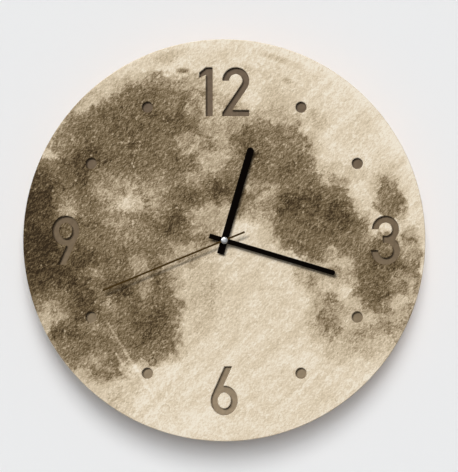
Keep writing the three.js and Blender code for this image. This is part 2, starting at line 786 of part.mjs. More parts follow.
function movementCover() {
  const bottom = bayTop + caseWall / 2 + seam;
  const height = caseHalf - bottom;
  const plate = roundedRectangle(caseWidth, height, caseWall / 2, 0, bottom + height / 2);
  plate.holes.push(disc(holeRadius(motionArborRadius, runningGap), tubeSides, ...motionSpot));
  return slab(plate, caseBack, chamberBack - seam, 2);
}

// A tray that is glued behind the diffuser, with four hooks that snap over the back of the case
function movementBracket() {
  const plate = rectangle(bracketWidth, bracketWidth);
  plate.holes.push(disc(bushingRadius + bushingFlange + fitGap, tubeSides));
  const hookX = caseHalf + fitGap;
  const lipFront = caseBack - seam;
  const profile = [
    [hookX, bracketBack + seam],
    [hookX, lipFront],
    [hookX - fitGap - hookLip, lipFront],
    [hookX, lipFront - hookThickness],
    [hookX + hookThickness, lipFront - hookThickness],
    [hookX + hookThickness, bracketBack + seam],
  ];
  const hookShape = new THREE.Shape(profile.map(([x, z]) => new THREE.Vector2(x, z)));
  const hooks = [0, Math.PI].flatMap((side) => [-0.5, 0.5].map((row) => {
    const hook = slab(hookShape, -hookWidth / 2, hookWidth / 2).rotateX(Math.PI / 2);
    return hook.translate(0, row * hookSpacing, 0).rotateZ(side);
  }));
  return joined(slab(plate, bracketBack, bracketFront), ...hooks);
}

function centreBushing() {
  const flangeBack = caseFront + seam;
  const flangeFront = flangeBack + bushingFlangeThickness;
  const profile = [
    [bushingBore, chamberFront],
    [bushingRadius, chamberFront],
    [bushingRadius, flangeBack],
    [bushingRadius + bushingFlange, flangeBack],
    [bushingRadius + bushingFlange, flangeFront],
    [bushingRadius, flangeFront],
    [bushingRadius, bushingFront],
    [bushingBore, bushingFront],
    [bushingBore, chamberFront],
  ];
  return turned(profile);
}

place("movement_bracket", "blackPlastic", movementBracket());
place("movement_case", "blackPlastic", movementCase());
place("movement_cover", "blackPlastic", movementCover());
place("centre_bushing", "brass", centreBushing());
place("clock_cell", "cellJacket", cell(0, bayCellY, bayCellLevel, 1));
place("clock_contact_plus", "steel", contactStrip(caseHalf - caseWall, -1, [bayCellY], bayCellLevel));
place("clock_contact_minus", "steel", contactStrip(caseWall - caseHalf, 1, [bayCellY], bayCellLevel));

// Step motor: a stator plate round the rotor's magnet, with the coil on its upper leg, and the board

function stator() {
  const [width, height] = [statorLength, statorTop - statorBottom];
  const plate = rectangle(width, height, statorLeft + width / 2, statorBottom + height / 2);
  plate.holes.push(disc(magnetRadius + magnetAirGap, tubeSides, ...rotorSpot));
  const coilRoom = coilLength + 2 * fitGap;
  const windowTop = coreY - statorLeg / 2;
  const windowBottom = statorBottom + statorLeg;
  const windowX = statorLeft + statorLeg + coilRoom / 2;
  plate.holes.push(rectangle(coilRoom, windowTop - windowBottom, windowX, (windowTop + windowBottom) / 2));
  return slab(plate, statorLevel - statorThickness / 2, statorLevel + statorThickness / 2);
}

// The winding on its bobbin, with a cheek at each end
function coil() {
  const half = coilLength / 2;
  const cheek = coilRadius;
  const wire = coilRadius - 0.5;
  const profile = [
    [0, -half],
    [cheek, -half],
    [cheek, 1 - half],
    [wire, 1 - half],
    [wire, half - 1],
    [cheek, half - 1],
    [cheek, half],
    [0, half],
  ];
  const x = statorLeft + statorLeg + fitGap + half;
  const winding = turned(profile, 14).rotateY(Math.PI / 2).translate(x, coreY, statorLevel);
  const legY = statorLeg / 2 + pressGap;
  const legZ = statorThickness / 2 + pressGap;
  return cut(winding, block(x - coilLength, x + coilLength, coreY - legY, coreY + legY,
    statorLevel - legZ, statorLevel + legZ));
}

const boardLeft = -caseHalf + caseWall + fitGap;
const boardTop = chamberTop - fitGap;
const boardBack = chamberBack + fitGap;
const boardFront = boardBack + boardThickness;

function circuitBoard() {
  const x = boardLeft + boardWidth / 2;
  const y = boardTop - boardHeight / 2;
  const drop = new THREE.SphereGeometry(chipRadius, 14, 8).scale(1, 1, 0.5);
  const chip = drop.translate(x + chipOffset, y, boardFront);
  return joined(slab(rectangle(boardWidth, boardHeight, x, y), boardBack, boardFront), chip);
}

function quartzCrystal() {
  const can = rod(crystalRadius, -crystalLength / 2, crystalLength / 2, 12).rotateX(Math.PI / 2);
  const y = boardTop - boardHeight / 2;
  return can.translate(boardLeft + crystalInset, y, boardFront + seam + crystalRadius);
}

place("stator", "steel", stator());
place("coil", "copper", coil());
place("circuit_board", "greenBoard", circuitBoard());
place("quartz_crystal", "silver", quartzCrystal());

// Gear train

// Straight-flanked teeth, one of them centred on the direction given
function gearOutline(teeth, module, toothAt, form) {
  const pitch = (2 * Math.PI) / teeth;
  const pitchRadius = (teeth * module) / 2;
  const tip = pitchRadius + form.addendum * module;
  const root = pitchRadius - form.dedendum * module;
  const tooth = [[-form.root, root], [-form.tip, tip], [form.tip, tip], [form.root, root]];
  const points = Array.from({ length: teeth }, (_, i) => tooth.map(([share, radius]) => {
    const angle = toothAt + (i + share / 2) * pitch;
    return new THREE.Vector2(radius * Math.cos(angle), radius * Math.sin(angle));
  }));
  return new THREE.Shape(points.flat());
}

// The two gears of a mesh: the pinion shows a leaf to the wheel, and the wheel a space to the pinion
function pinion(teeth, mateTeeth, distance, towards, level, bore = 0) {
  const outline = gearOutline(teeth, (2 * distance) / (teeth + mateTeeth), towards, pinionLeaf);
  if (bore > 0) outline.holes.push(disc(bore, tubeSides));
  const half = gearThickness / 2 + pinionOverlap;
  return slab(outline, gearLevel(level) - half, gearLevel(level) + half);
}

function wheel(teeth, mateTeeth, distance, towards, level, bore = 0) {
  const module = (2 * distance) / (teeth + mateTeeth);
  const outline = gearOutline(teeth, module, towards + Math.PI / teeth, wheelTooth);
  if (bore > 0) outline.holes.push(disc(bore, tubeSides));
  return slab(outline, gearLevel(level) - gearThickness / 2, gearLevel(level) + gearThickness / 2);
}

const arborBack = chamberBack + runningGap - seam;
const arborFront = chamberFront - runningGap;
const minuteTubeFront = minuteHandBack + minuteHand.thickness;
const hourTubeFront = hourHandBack + hourHand.thickness;
const fromCentre = { third: thirdDirection, intermediate: intermediateDirection, motion: motionDirection };
const toCentre = (direction) => direction + Math.PI;

function rotor() {
  const toIntermediate = toCentre(rotorDirection);
  const leaves = pinion(rotorTeeth, intermediateTeeth, rotorDistance, toIntermediate, 0);
  const half = magnetLength / 2;
  const magnet = rod(magnetRadius, statorLevel - half, statorLevel + half);
  return joined(rod(arborRadius, arborBack, arborFront, 10), leaves, magnet);
}

function intermediateWheel() {
  const large = wheel(intermediateTeeth, rotorTeeth, rotorDistance, rotorDirection, 0);
  const inward = toCentre(fromCentre.intermediate);
  const leaves = pinion(intermediatePinionTeeth, secondsTeeth, intermediateDistance, inward, 1);
  return joined(rod(arborRadius, arborBack, arborFront, 10), large, leaves);
}

function secondsWheel() {
  const outward = fromCentre.intermediate;
  const large = wheel(secondsTeeth, intermediatePinionTeeth, intermediateDistance, outward, 1);
  const leaves = pinion(secondsPinionTeeth, thirdTeeth, thirdDistance, fromCentre.third, 2);
  return joined(rod(secondArborRadius, arborBack, secondHandFront + capHeight / 2, 12), large, leaves);
}

function thirdWheel() {
  const inward = toCentre(fromCentre.third);
  const large = wheel(thirdTeeth, secondsPinionTeeth, thirdDistance, inward, 2);
  const leaves = pinion(thirdPinionTeeth, centreTeeth, thirdDistance, inward, 3);
  return joined(rod(arborRadius, arborBack, arborFront, 10), large, leaves);
}

// The centre wheel grips the cannon pinion's tube, so that the hands can be set
function centreWheel() {
  const bore = holeRadius(minuteTubeRadius, pressGap);
  return wheel(centreTeeth, thirdPinionTeeth, thirdDistance, fromCentre.third, 3, bore);
}

function cannonPinion() {
  const back = gearLevel(3) - gearThickness / 2;
  const leaves = pinion(cannonTeeth, motionTeeth, motionDistance, fromCentre.motion, 4, minuteTubeBore);
  return joined(tube(minuteTubeBore, minuteTubeRadius, back, minuteTubeFront), leaves);
}

function motionWheel() {
  const inward = toCentre(fromCentre.motion);
  const large = wheel(motionTeeth, cannonTeeth, motionDistance, inward, 4);
  const leaves = pinion(motionPinionTeeth, hourTeeth, motionDistance, inward, 5);
  return joined(rod(motionArborRadius, knobRecess + seam, arborFront, 12), large, leaves);
}

function hourWheel() {
  const back = gearLevel(5) - gearThickness / 2;
  const large = wheel(hourTeeth, motionPinionTeeth, motionDistance, fromCentre.motion, 5, hourTubeBore);
  return joined(tube(hourTubeBore, hourTubeRadius, back, hourTubeFront), large);
}

// A fluted knob on the rear end of the motion wheel's arbor
function setKnob() {
  const points = Array.from({ length: 4 * knobFlutes }, (_, i) => {
    const radius = i % 4 < 2 ? knobRadius : knobRadius - knobFluteDepth;
    const angle = (2 * Math.PI * i) / (4 * knobFlutes);
    return new THREE.Vector2(radius * Math.cos(angle), radius * Math.sin(angle));
  });
  const outline = new THREE.Shape(points);
  outline.holes.push(disc(holeRadius(motionArborRadius, pressGap), tubeSides));
  return slab(outline, knobRecess, knobRecess + knobHeight);
}

place("rotor", "steel", rotor(), ...rotorSpot);
place("intermediate_wheel", "whitePlastic", intermediateWheel(), ...intermediateSpot);
place("seconds_wheel", "whitePlastic", secondsWheel());
place("third_wheel", "whitePlastic", thirdWheel(), ...thirdSpot);
place("centre_wheel", "whitePlastic", centreWheel());
place("cannon_pinion", "whitePlastic", cannonPinion());
place("motion_wheel", "whitePlastic", motionWheel(), ...motionSpot);
place("hour_wheel", "whitePlastic", hourWheel());
place("set_knob", "blackPlastic", setKnob(), ...motionSpot);

// Hands

// A flat bar that points to twelve, on a collet that is pressed onto its tube
function hand(size, back, tubeRadius) {
  const half = size.width / 2;
  const bar = new THREE.Shape();
  bar.moveTo(-half, -size.tail);
  bar.lineTo(half, -size.tail);
  bar.absarc(0, size.length - half, half, 0, Math.PI);
  const bore = holeRadius(tubeRadius, pressGap);
  const blade = slab(bar, back, back + size.thickness, 4);
  const sleeve = rod(Math.max(half, tubeRadius + hourTubeWall), back - colletHeight, back + seam);
  return cut(joined(blade, sleeve), rod(bore, back - 2 * colletHeight, back + 2 * size.thickness));
}

// A domed button with a small flat on top
function secondCap() {
  const back = secondHandFront + seam;
  const bore = holeRadius(secondArborRadius, pressGap, 12);
  const profile = [
    [0, back],
    [capRadius, back],
    [capRadius, back + capHeight * 0.45],
    [capRadius * 0.86, back + capHeight * 0.8],
    [capRadius * 0.6, back + capHeight],
    [0, back + capHeight],
  ];
  return cut(turned(profile, dotSides), rod(bore, back - capHeight, back + capHeight * 0.6, 12));
}

const clockwise = (degrees) => -THREE.MathUtils.degToRad(degrees);

place("hour_hand", "handPaint", hand(hourHand, hourHandBack, hourTubeRadius), 0, 0,
  clockwise(hourHand.degrees));
place("minute_hand", "handPaint", hand(minuteHand, minuteHandBack, minuteTubeRadius), 0, 0,
  clockwise(minuteHand.degrees));
place("second_hand", "handPaint", hand(secondHand, secondHandBack, secondArborRadius), 0, 0,
  clockwise(secondHand.degrees));
place("second_cap", "silver", secondCap());

// Stood up against the wall, with the nail at the origin
clock.rotation.x = Math.PI / 2;
clock.position.z = -hangHeight;
const part = new THREE.Group();
part.name = "led_wall_clock";
part.add(clock);

export default part;
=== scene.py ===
"""LED wall clock: the printed dial, its hands and the light box behind it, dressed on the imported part."""

import math

import bpy
from mathutils import Matrix, Vector


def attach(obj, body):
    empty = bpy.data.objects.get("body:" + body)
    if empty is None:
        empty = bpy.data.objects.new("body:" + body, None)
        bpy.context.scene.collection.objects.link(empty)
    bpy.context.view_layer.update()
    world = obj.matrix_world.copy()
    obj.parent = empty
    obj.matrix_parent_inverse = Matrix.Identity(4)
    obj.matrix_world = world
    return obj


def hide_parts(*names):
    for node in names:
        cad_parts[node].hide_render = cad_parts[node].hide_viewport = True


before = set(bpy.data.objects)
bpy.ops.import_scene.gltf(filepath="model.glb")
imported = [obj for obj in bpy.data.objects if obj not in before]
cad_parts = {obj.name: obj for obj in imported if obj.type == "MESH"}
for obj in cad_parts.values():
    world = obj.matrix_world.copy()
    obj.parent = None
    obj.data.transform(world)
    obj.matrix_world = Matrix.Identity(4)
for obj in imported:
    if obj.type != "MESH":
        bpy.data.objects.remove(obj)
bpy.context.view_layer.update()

# Sizes in millimetres, counted from the hand axis on the plane of the wall, as the part's source has them
MM = 0.001
AXIS_HEIGHT = -84.0
DIAL_RADIUS = 150.0
BOX_RADIUS = 142.0
RING_BORE = 134.0
BACK_PANEL = (0.0, 3.0)
RING = (3.1, 25.1)
DIFFUSER = (25.2, 27.2)
DIAL = (27.3, 30.3)
FIGURE_HEIGHT = 36.4
FIGURE_WIDTH = 20.0
STROKE = 5.0
SIX_BOWL = 22.0
TWELVE_Y = 110.8
ONE_X = -13.7
TWO_X = 8.6
THREE_X = 120.3
SIX_Y = -112.4
NINE_X = -118.3
DOT_RADIUS = 4.1
DOT_CIRCLE = 114.6
SHAFT_HOLE = 3.05
SCREW_CIRCLE = 138.0
SCREW_HOLE = 3.3
SCREW_ANGLES = [30 + 60 * i for i in range(6)]
COLLET_HEIGHT = 1.2

# Windows in the rear panel: width, height, corner, x, y
MOVEMENT_WINDOW = (63.6, 63.6, 4, 0, 0)
BATTERY_WINDOW = (68.2, 47.8, 0.8, 0, -61.7)

# Broken edges, and the points along the large circles
DIAL_CHAMFER = 0.5
DIFFUSER_CHAMFER = 0.15
RING_CHAMFER = 0.4
PANEL_CHAMFER = 0.3
BLADE_CHAMFER = 0.12
COLLET_CHAMFER = 0.1
DIAL_STEPS = 288
BOX_STEPS = 240


# Outlines, as lists of points

def arc(x, y, width, height, start, end, steps=24):
    """Points along an arc of an oval with these half sizes, from one angle to another in degrees."""
    turn = [math.radians(start + (end - start) * i / steps) for i in range(steps + 1)]
    return [(x + width * math.cos(a), y + height * math.sin(a)) for a in turn]


def circle(radius, x=0.0, y=0.0, steps=48):
    return arc(x, y, radius, radius, 0, 360, steps)[:-1]


def rounded_box(width, height, corner, x=0.0, y=0.0):
    w, h = width / 2 - corner, height / 2 - corner
    points = []
    for i, (u, v) in enumerate([(w, -h), (w, h), (-w, h), (-w, -h)]):
        points += arc(x + u, y + v, corner, corner, 90 * i - 90, 90 * i, 8)
    return points


def shifted(points, x, y, half_turn=False):
    sign = -1 if half_turn else 1
    return [(x + sign * u, y + sign * v) for u, v in points]


def swung(points, angle):
    """The points turned anticlockwise about the hand axis, in radians."""
    c, s = math.cos(angle), math.sin(angle)
    return [(x * c - y * s, x * s + y * c) for x, y in points]


def figure_one():
    top = FIGURE_HEIGHT / 2
    reach, drop, depth = 5.0, 4.0, 3.9
    return [(0, -top), (STROKE, -top), (STROKE, top), (0, top), (-reach, top - drop),
            (-reach, top - drop - depth), (0, top - depth - drop * 0.4)]


def figure_two():
    radius = FIGURE_WIDTH / 2
    bottom = -FIGURE_HEIGHT / 2
    centre = FIGURE_HEIGHT / 2 - radius
    foot_top = bottom + STROKE * 0.9
    foot_x = -radius + STROKE * 1.46
    reach = math.hypot(foot_x, centre - foot_top)
    slope = math.atan2(centre - foot_top, -foot_x) - math.asin(radius / reach)
    leaving = slope - math.pi / 2
    inner = radius - STROKE
    inner_x = inner * math.cos(leaving)
    inner_y = centre + inner * math.sin(leaving)
    foot_y = inner_y - (inner_x + radius) * math.tan(slope)
    turn = math.degrees(leaving)
    return ([(-radius, bottom), (radius, bottom), (radius, foot_top), (foot_x, foot_top)]
            + arc(0, centre, radius, radius, turn, 180, 36)
            + arc(0, centre, inner, inner, 180, turn, 36) + [(-radius, foot_y)])


def figure_three():
    bowls = (FIGURE_HEIGHT + STROKE) / 2
    lower = bowls / 2 + 0.35
    upper = bowls - lower
    upper_y = FIGURE_HEIGHT / 2 - upper
    lower_y = lower - FIGURE_HEIGHT / 2
    waist = (upper ** 2 - lower ** 2 + lower_y ** 2 - upper_y ** 2) / (2 * (lower_y - upper_y))
    upper_turn = math.degrees(math.asin((waist - upper_y) / upper))
    lower_turn = math.degrees(math.asin((waist - lower_y) / lower))
    inner_upper, inner_lower = upper - STROKE, lower - STROKE
    middle = -2.0
    return (arc(0, upper_y, upper, upper, 180, upper_turn, 36)
            + arc(0, lower_y, lower, lower, lower_turn, -180, 36)[1:]
            + arc(0, lower_y, inner_lower, inner_lower, -180, 90, 32)
            + [(middle, lower_y + inner_lower), (middle, upper_y - inner_upper)]
            + arc(0, upper_y, inner_upper, inner_upper, -90, 180, 32))


SIX_CENTRE = SIX_BOWL / 2 - FIGURE_HEIGHT / 2


def figure_six():
    a, b = FIGURE_WIDTH / 2, SIX_BOWL / 2
    top = FIGURE_HEIGHT / 2
    stem = 0.2
    reach_y = (top - SIX_CENTRE) * a / b
    tangent = math.atan2(reach_y, stem) + math.acos(a / math.hypot(stem, reach_y))
    touch_x, touch_y = a * math.cos(tangent), SIX_CENTRE + b * math.sin(tangent)
    lean = (stem - touch_x) / (top - touch_y)
    foot = 94
    foot_x, foot_y = a * math.cos(math.radians(foot)), SIX_CENTRE + b * math.sin(math.radians(foot))
    sweep = arc(0, SIX_CENTRE, a, b, foot, math.degrees(tangent) - 360, 60)
    return [(stem, top), (foot_x + lean * (top - foot_y), top)] + sweep


def six_island():
    return arc(0, SIX_CENTRE, FIGURE_WIDTH / 2 - STROKE, SIX_BOWL / 2 - STROKE, 0, 360, 48)[:-1]


def keyhole():
    slot, entry, travel = 2.7, 5.5, 10
    nail = -AXIS_HEIGHT
    mouth = math.degrees(math.asin(slot / entry))
    return (arc(0, nail, slot, slot, 0, 180, 16)
            + arc(0, nail - travel, entry, entry, 90 + mouth, 450 - mouth, 40))


def around(radius, degrees):
    """A point on a circle about the hand axis, counted clockwise from twelve."""
    angle = math.radians(degrees)
    return radius * math.sin(angle), radius * math.cos(angle)


# Modelling

def pick(piece):
    """Selects one piece alone, so that the next operators act on nothing else."""
    bpy.ops.object.select_all(action="DESELECT")
    piece.select_set(True)
    bpy.context.view_layer.objects.active = piece


def clean(piece, turn_out=True):
    """Merges what lies on the same spot and turns the faces outwards."""
    pick(piece)
    bpy.ops.object.mode_set(mode="EDIT")
    bpy.ops.mesh.select_all(action="SELECT")
    bpy.ops.mesh.remove_doubles(threshold=0.002 * MM)
    if turn_out:
        bpy.ops.mesh.normals_make_consistent(inside=False)
    bpy.ops.object.mode_set(mode="OBJECT")


def smooth(piece, degrees=18):
    pick(piece)
    bpy.ops.object.shade_smooth_by_angle(angle=math.radians(degrees))


def stand_up(piece, level=0.0):
    """Stands a piece that was modelled flat up against the wall, and puts that place in its mesh."""
    pick(piece)
    piece.rotation_euler = (math.pi / 2, 0, 0)
    piece.location = (0, -level * MM, AXIS_HEIGHT * MM)
    bpy.ops.object.transform_apply(location=True, rotation=True, scale=True)


def plate(name, outlines, levels, chamfer):
    """A flat sheet with holes, drawn as a filled flat curve with a chamfer along its edges."""
    drawing = bpy.data.curves.new(name, "CURVE")
    drawing.dimensions = "2D"
    drawing.fill_mode = "BOTH"
    for points in outlines:
        line = drawing.splines.new("POLY")
        line.points.add(len(points) - 1)
        line.points.foreach_set("co", [c for x, y in points for c in (x * MM, y * MM, 0, 1)])
        line.use_cyclic_u = True
    drawing.bevel_depth = chamfer * MM
    drawing.bevel_resolution = 0
    drawing.offset = -chamfer * MM
    drawing.extrude = ((levels[1] - levels[0]) / 2 - chamfer) * MM
    piece = bpy.data.objects.new(name, drawing)
    bpy.context.collection.objects.link(piece)
    pick(piece)
    bpy.ops.object.convert(target="MESH")
    piece = bpy.context.view_layer.objects.active
    stand_up(piece, (levels[0] + levels[1]) / 2)
    clean(piece)
    smooth(piece)
    return piece


def turned(name, profile, sides=48):
    """A turned piece about the hand axis, raised ring by ring from its first disc by extruding and scaling."""
    radius, level = profile[0]
    bpy.ops.object.select_all(action="DESELECT")
    bpy.ops.mesh.primitive_circle_add(vertices=sides, radius=radius * MM, fill_type="NGON",
                                      location=(0, 0, level * MM))
    piece = bpy.context.view_layer.objects.active
    piece.name = piece.data.name = name
    bpy.ops.object.transform_apply(location=True, rotation=True, scale=True)
    bpy.ops.object.mode_set(mode="EDIT")
    bpy.ops.mesh.select_all(action="SELECT")
    for next_radius, next_level in profile[1:]:
        rise = (next_level - level) * MM
        bpy.ops.mesh.extrude_region_move(TRANSFORM_OT_translate={"value": (0, 0, rise)})
        share = next_radius / radius
        bpy.ops.transform.resize(value=(share, share, 1), center_override=(0, 0, next_level * MM))
        radius, level = next_radius, next_level
    bpy.ops.object.mode_set(mode="OBJECT")
    clean(piece)
    return piece


def finish_with(piece, kind, **settings):
    """Adds a modifier with its settings and applies it."""
    pick(piece)
    modifier = piece.modifiers.new(kind.lower(), kind)
    for key, value in settings.items():
        setattr(modifier, key, value)
    bpy.ops.object.modifier_apply(modifier=modifier.name)


def softened(node, name, width):
    """A copy of a CAD piece with its flat faces made whole and its corners broken, as a moulding has them."""
    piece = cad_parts[node].copy()
    piece.data = piece.data.copy()
    piece.parent = None
    for key in list(piece.keys()):
        del piece[key]
    piece.name = piece.data.name = name
    bpy.context.collection.objects.link(piece)
    clean(piece, turn_out=False)
    bpy.ops.object.mode_set(mode="EDIT")
    bpy.ops.mesh.select_all(action="SELECT")
    bpy.ops.mesh.dissolve_limited(angle_limit=math.radians(1))
    bpy.ops.object.mode_set(mode="OBJECT")
    finish_with(piece, "BEVEL", width=width * MM, segments=2, limit_method="ANGLE",
                angle_limit=math.radians(40), use_clamp_overlap=True)
    smooth(piece, 40)
    finish_with(piece, "WEIGHTED_NORMAL", keep_sharp=True)
    return piece


def copied(piece, name, place):
    """A copy with its own mesh, moved into place by a matrix."""
    twin = piece.copy()
    twin.data = piece.data.copy()
    twin.name = twin.data.name = name
    bpy.context.collection.objects.link(twin)
    twin.data.transform(place)
    return twin


def joined(name, *pieces):
    pick(pieces[0])
    for piece in pieces[1:]:
        piece.select_set(True)
    bpy.ops.object.join()
    pieces[0].name = pieces[0].data.name = name
    return pieces[0]


# Materials

def linear(code):
    """An sRGB hex colour as linear light."""
    parts = [int(code[i:i + 2], 16) / 255 for i in (1, 3, 5)]
    return tuple(c / 12.92 if c <= 0.04045 else ((c + 0.055) / 1.055) ** 2.4 for c in parts) + (1.0,)


def add(tree, kind, sockets=None, stops=None, **settings):
    """One node with its settings, its colour stops and its sockets, each set to a value or linked to an output."""
    made = tree.nodes.new("ShaderNode" + kind)
    for key, value in settings.items():
        setattr(made, key, value)
    for key, value in (sockets or {}).items():
        if isinstance(value, bpy.types.NodeSocket):
            tree.links.new(value, made.inputs[key])
        else:
            made.inputs[key].default_value = value
    if stops:
        band = made.color_ramp.elements
        while len(band) < len(stops):
            band.new(1.0)
        for mark, (position, code) in zip(band, stops):
            mark.position = position
            mark.color = linear(code)
    return made


def finish(name, **surface):
    """A new material with its even values set on the shader, and Object coordinates in millimetres."""
    made = bpy.data.materials.new(name)
    made.use_nodes = True
    tree = made.node_tree
    shader = tree.nodes["Principled BSDF"]
    for key, value in surface.items():
        shader.inputs[key.replace("_", " ")].default_value = value
    coordinates = add(tree, "TexCoord").outputs["Object"]
    place = add(tree, "Mapping", {"Vector": coordinates, "Location": (0, 0, -AXIS_HEIGHT),
                                  "Scale": (1 / MM, 1 / MM, 1 / MM)})
    return made, tree, shader, place.outputs["Vector"]


def mottled(name, colours, grain, relief, rough, stretch=(1, 1, 1), detail=4.0, **surface):
    """A material whose colour wanders between its stops over grains of a real size, with a relief to match."""
    made, tree, shader, place = finish(name, **surface)
    drawn = add(tree, "Mapping", {"Vector": place, "Scale": stretch}).outputs["Vector"]
    specks = add(tree, "TexNoise", {"Vector": drawn, "Scale": 1 / grain, "Detail": detail, "Roughness": 0.6})
    colour = add(tree, "ValToRGB", {"Fac": specks.outputs["Fac"]}, stops=colours)
    tree.links.new(colour.outputs["Color"], shader.inputs["Base Color"])
    gloss = add(tree, "MapRange", {"Value": specks.outputs["Fac"], "From Min": 0.3, "From Max": 0.7,
                                   "To Min": rough[0], "To Max": rough[1]})
    tree.links.new(gloss.outputs["Result"], shader.inputs["Roughness"])
    bump = add(tree, "Bump", {"Height": specks.outputs["Fac"], "Strength": relief[0], "Distance": relief[1] * MM})
    tree.links.new(bump.outputs["Normal"], shader.inputs["Normal"])
    return made


# The seas of the moon on the dial: x, y, half width, half height, right end up in degrees, depth, softness
SEAS = [
    # Western plains
    (-72, 76, 54, 43, 15, 0.62, 0.25), (-125, 10, 36, 55, 0, 0.66, 0.3), (-90, -48, 50, 44, 0, 0.53, 0.3),
    (-55, 10, 42, 32, 0, 0.47, 0.6), (-52, -58, 19, 32, 0, 0.31, 0.3), (-138, 3, 15, 36, 0, 0.75, 0.5),
    (-6, 75, 26, 42, 0, 0.36, 0.35), (-24, 24, 30, 24, 0, 0.44, 0.55), (-102, 62, 12, 8, 30, 0.35, 0.5),
    (-32, 102, 18, 16, -15, 0.30, 0.5), (-22, 31, 8, 6, 0, 0.42, 0.5), (-37, 15, 10, 9, 20, 0.42, 0.5),
    (-80, -33, 15, 9, 0, 0.40, 0.5), (-50, -26, 5, 8, 0, 0.35, 0.5), (-110, -42, 13, 22, 40, 0.40, 0.5),
    (-55, -68, 16, 14, 0, 0.30, 0.5), (-115, -67, 13, 10, 0, 0.35, 0.5), (-90, -95, 16, 9, -20, 0.35, 0.5),
    (-128, 71, 6, 13, -20, 0.30, 0.5), (-45, 121, 9, 5, 0, 0.34, 0.5), (-24, 120, 12, 5, 0, 0.24, 0.5),
    (-26, 57, 10, 6, 10, 0.40, 0.5), (-7, 70, 6, 5, 0, 0.32, 0.5), (-72, 18, 13, 7, 0, 0.32, 0.5),
    (-15, -6, 7, 7, 0, 0.20, 0.5), (-37, -33, 8, 14, 10, 0.20, 0.5), (-34, -77, 6, 9, 0, 0.25, 0.5),
    (-24, -73, 10, 8, 0, 0.14, 0.7), (-40, -86, 5, 6, 0, 0.14, 0.6), (-73, -112, 20, 9, 25, 0.11, 0.8),
    (-48, -79, 12, 6, 0, 0.16, 0.6), (-110, -97, 6, 5, 0, 0.20, 0.6), (-31, -46, 4, 6, 0, 0.25, 0.6),
    (-61, -90, 12, 6, -10, 0.28, 0.5), (-93, -104, 12, 5, 0, 0.25, 0.5), (-114, -88, 8, 10, 30, 0.28, 0.5),
    (-142, -45, 8, 14, 20, 0.38, 0.5), (-103, -102, 46, 14, -48, 0.13, 0.8), (-66, 90, 14, 11, 0, 0.16, 0.7),
    (-85, 72, 7, 6, 0, 0.12, 0.6), (-78, -100, 7, 6, 0, 0.20, 0.5), (-138, -62, 38, 6, -68, 0.14, 0.6),
    (-140, 52, 7, 22, -18, 0.32, 0.6), (-146, -28, 6, 14, 0, 0.42, 0.5), (-146, 12, 6, 42, 0, 0.34, 0.5),
    # Eastern plains
    (38, 70, 28, 29, -30, 0.45, 0.3), (54, 46, 17, 20, 25, 0.36, 0.4), (72, 13, 36, 30, -20, 0.60, 0.25),
    (57, 27, 15, 9, 0, 0.40, 0.5), (85, 18, 11, 12, 0, 0.36, 0.5), (0, 38, 14, 11, 0, 0.42, 0.35),
    (14, 58, 16, 30, 0, 0.35, 0.4), (117, -25, 20, 28, 10, 0.66, 0.3), (136, -12, 13, 16, 0, 0.32, 0.4),
    (80, -14, 20, 13, -20, 0.12, 0.4), (80, -57, 13, 17, 0, 0.25, 0.5), (86, -64, 24, 26, 0, 0.20, 0.5),
    (120, 34, 11, 17, 0, 0.35, 0.25), (120, 36, 16, 22, 0, 0.12, 0.5), (130, -55, 18, 19, 0, 0.27, 0.5),
    (110, -74, 20, 11, 15, 0.23, 0.5), (23, 26, 18, 11, 38, 0.36, 0.5), (34, 8, 7, 13, 0, 0.26, 0.5),
    (61, -28, 11, 8, 0, 0.30, 0.5), (69, -36, 8, 6, 30, 0.15, 0.5), (107, -49, 9, 5, -40, 0.28, 0.5),
    (84, 46, 9, 6, -30, 0.24, 0.5), (65, 51, 6, 5, 0, 0.18, 0.5), (113, 44, 5, 8, 0, 0.42, 0.5),
    (131, 24, 6, 12, 0, 0.28, 0.5), (101, 23, 6, 7, 0, 0.36, 0.5), (52, 43, 8, 4, 0, 0.16, 0.5),
    (97, -37, 4, 5, 0, 0.30, 0.5), (66, 90, 5, 8, 20, 0.14, 0.6), (64, -48, 5, 8, 0, 0.15, 0.6),
    (50, -6, 9, 5, -15, 0.28, 0.5), (85, -26, 13, 7, 0, 0.24, 0.5), (144, -30, 5, 12, 0, 0.35, 0.5),
    (137, 5, 9, 5, 0, 0.24, 0.5), (86, 52, 32, 6, -8, 0.14, 0.6), (134, -70, 36, 6, 61, 0.13, 0.6),
    # Faint shade on the bright ground
    (-18, -40, 14, 26, 0, 0.17, 0.6), (8, -42, 34, 24, 30, 0.07, 0.8), (27, -87, 18, 8, 30, 0.06, 0.8),
    (38, 112, 10, 14, 0, 0.08, 0.8), (72, 88, 6, 8, -30, 0.12, 0.8),
]
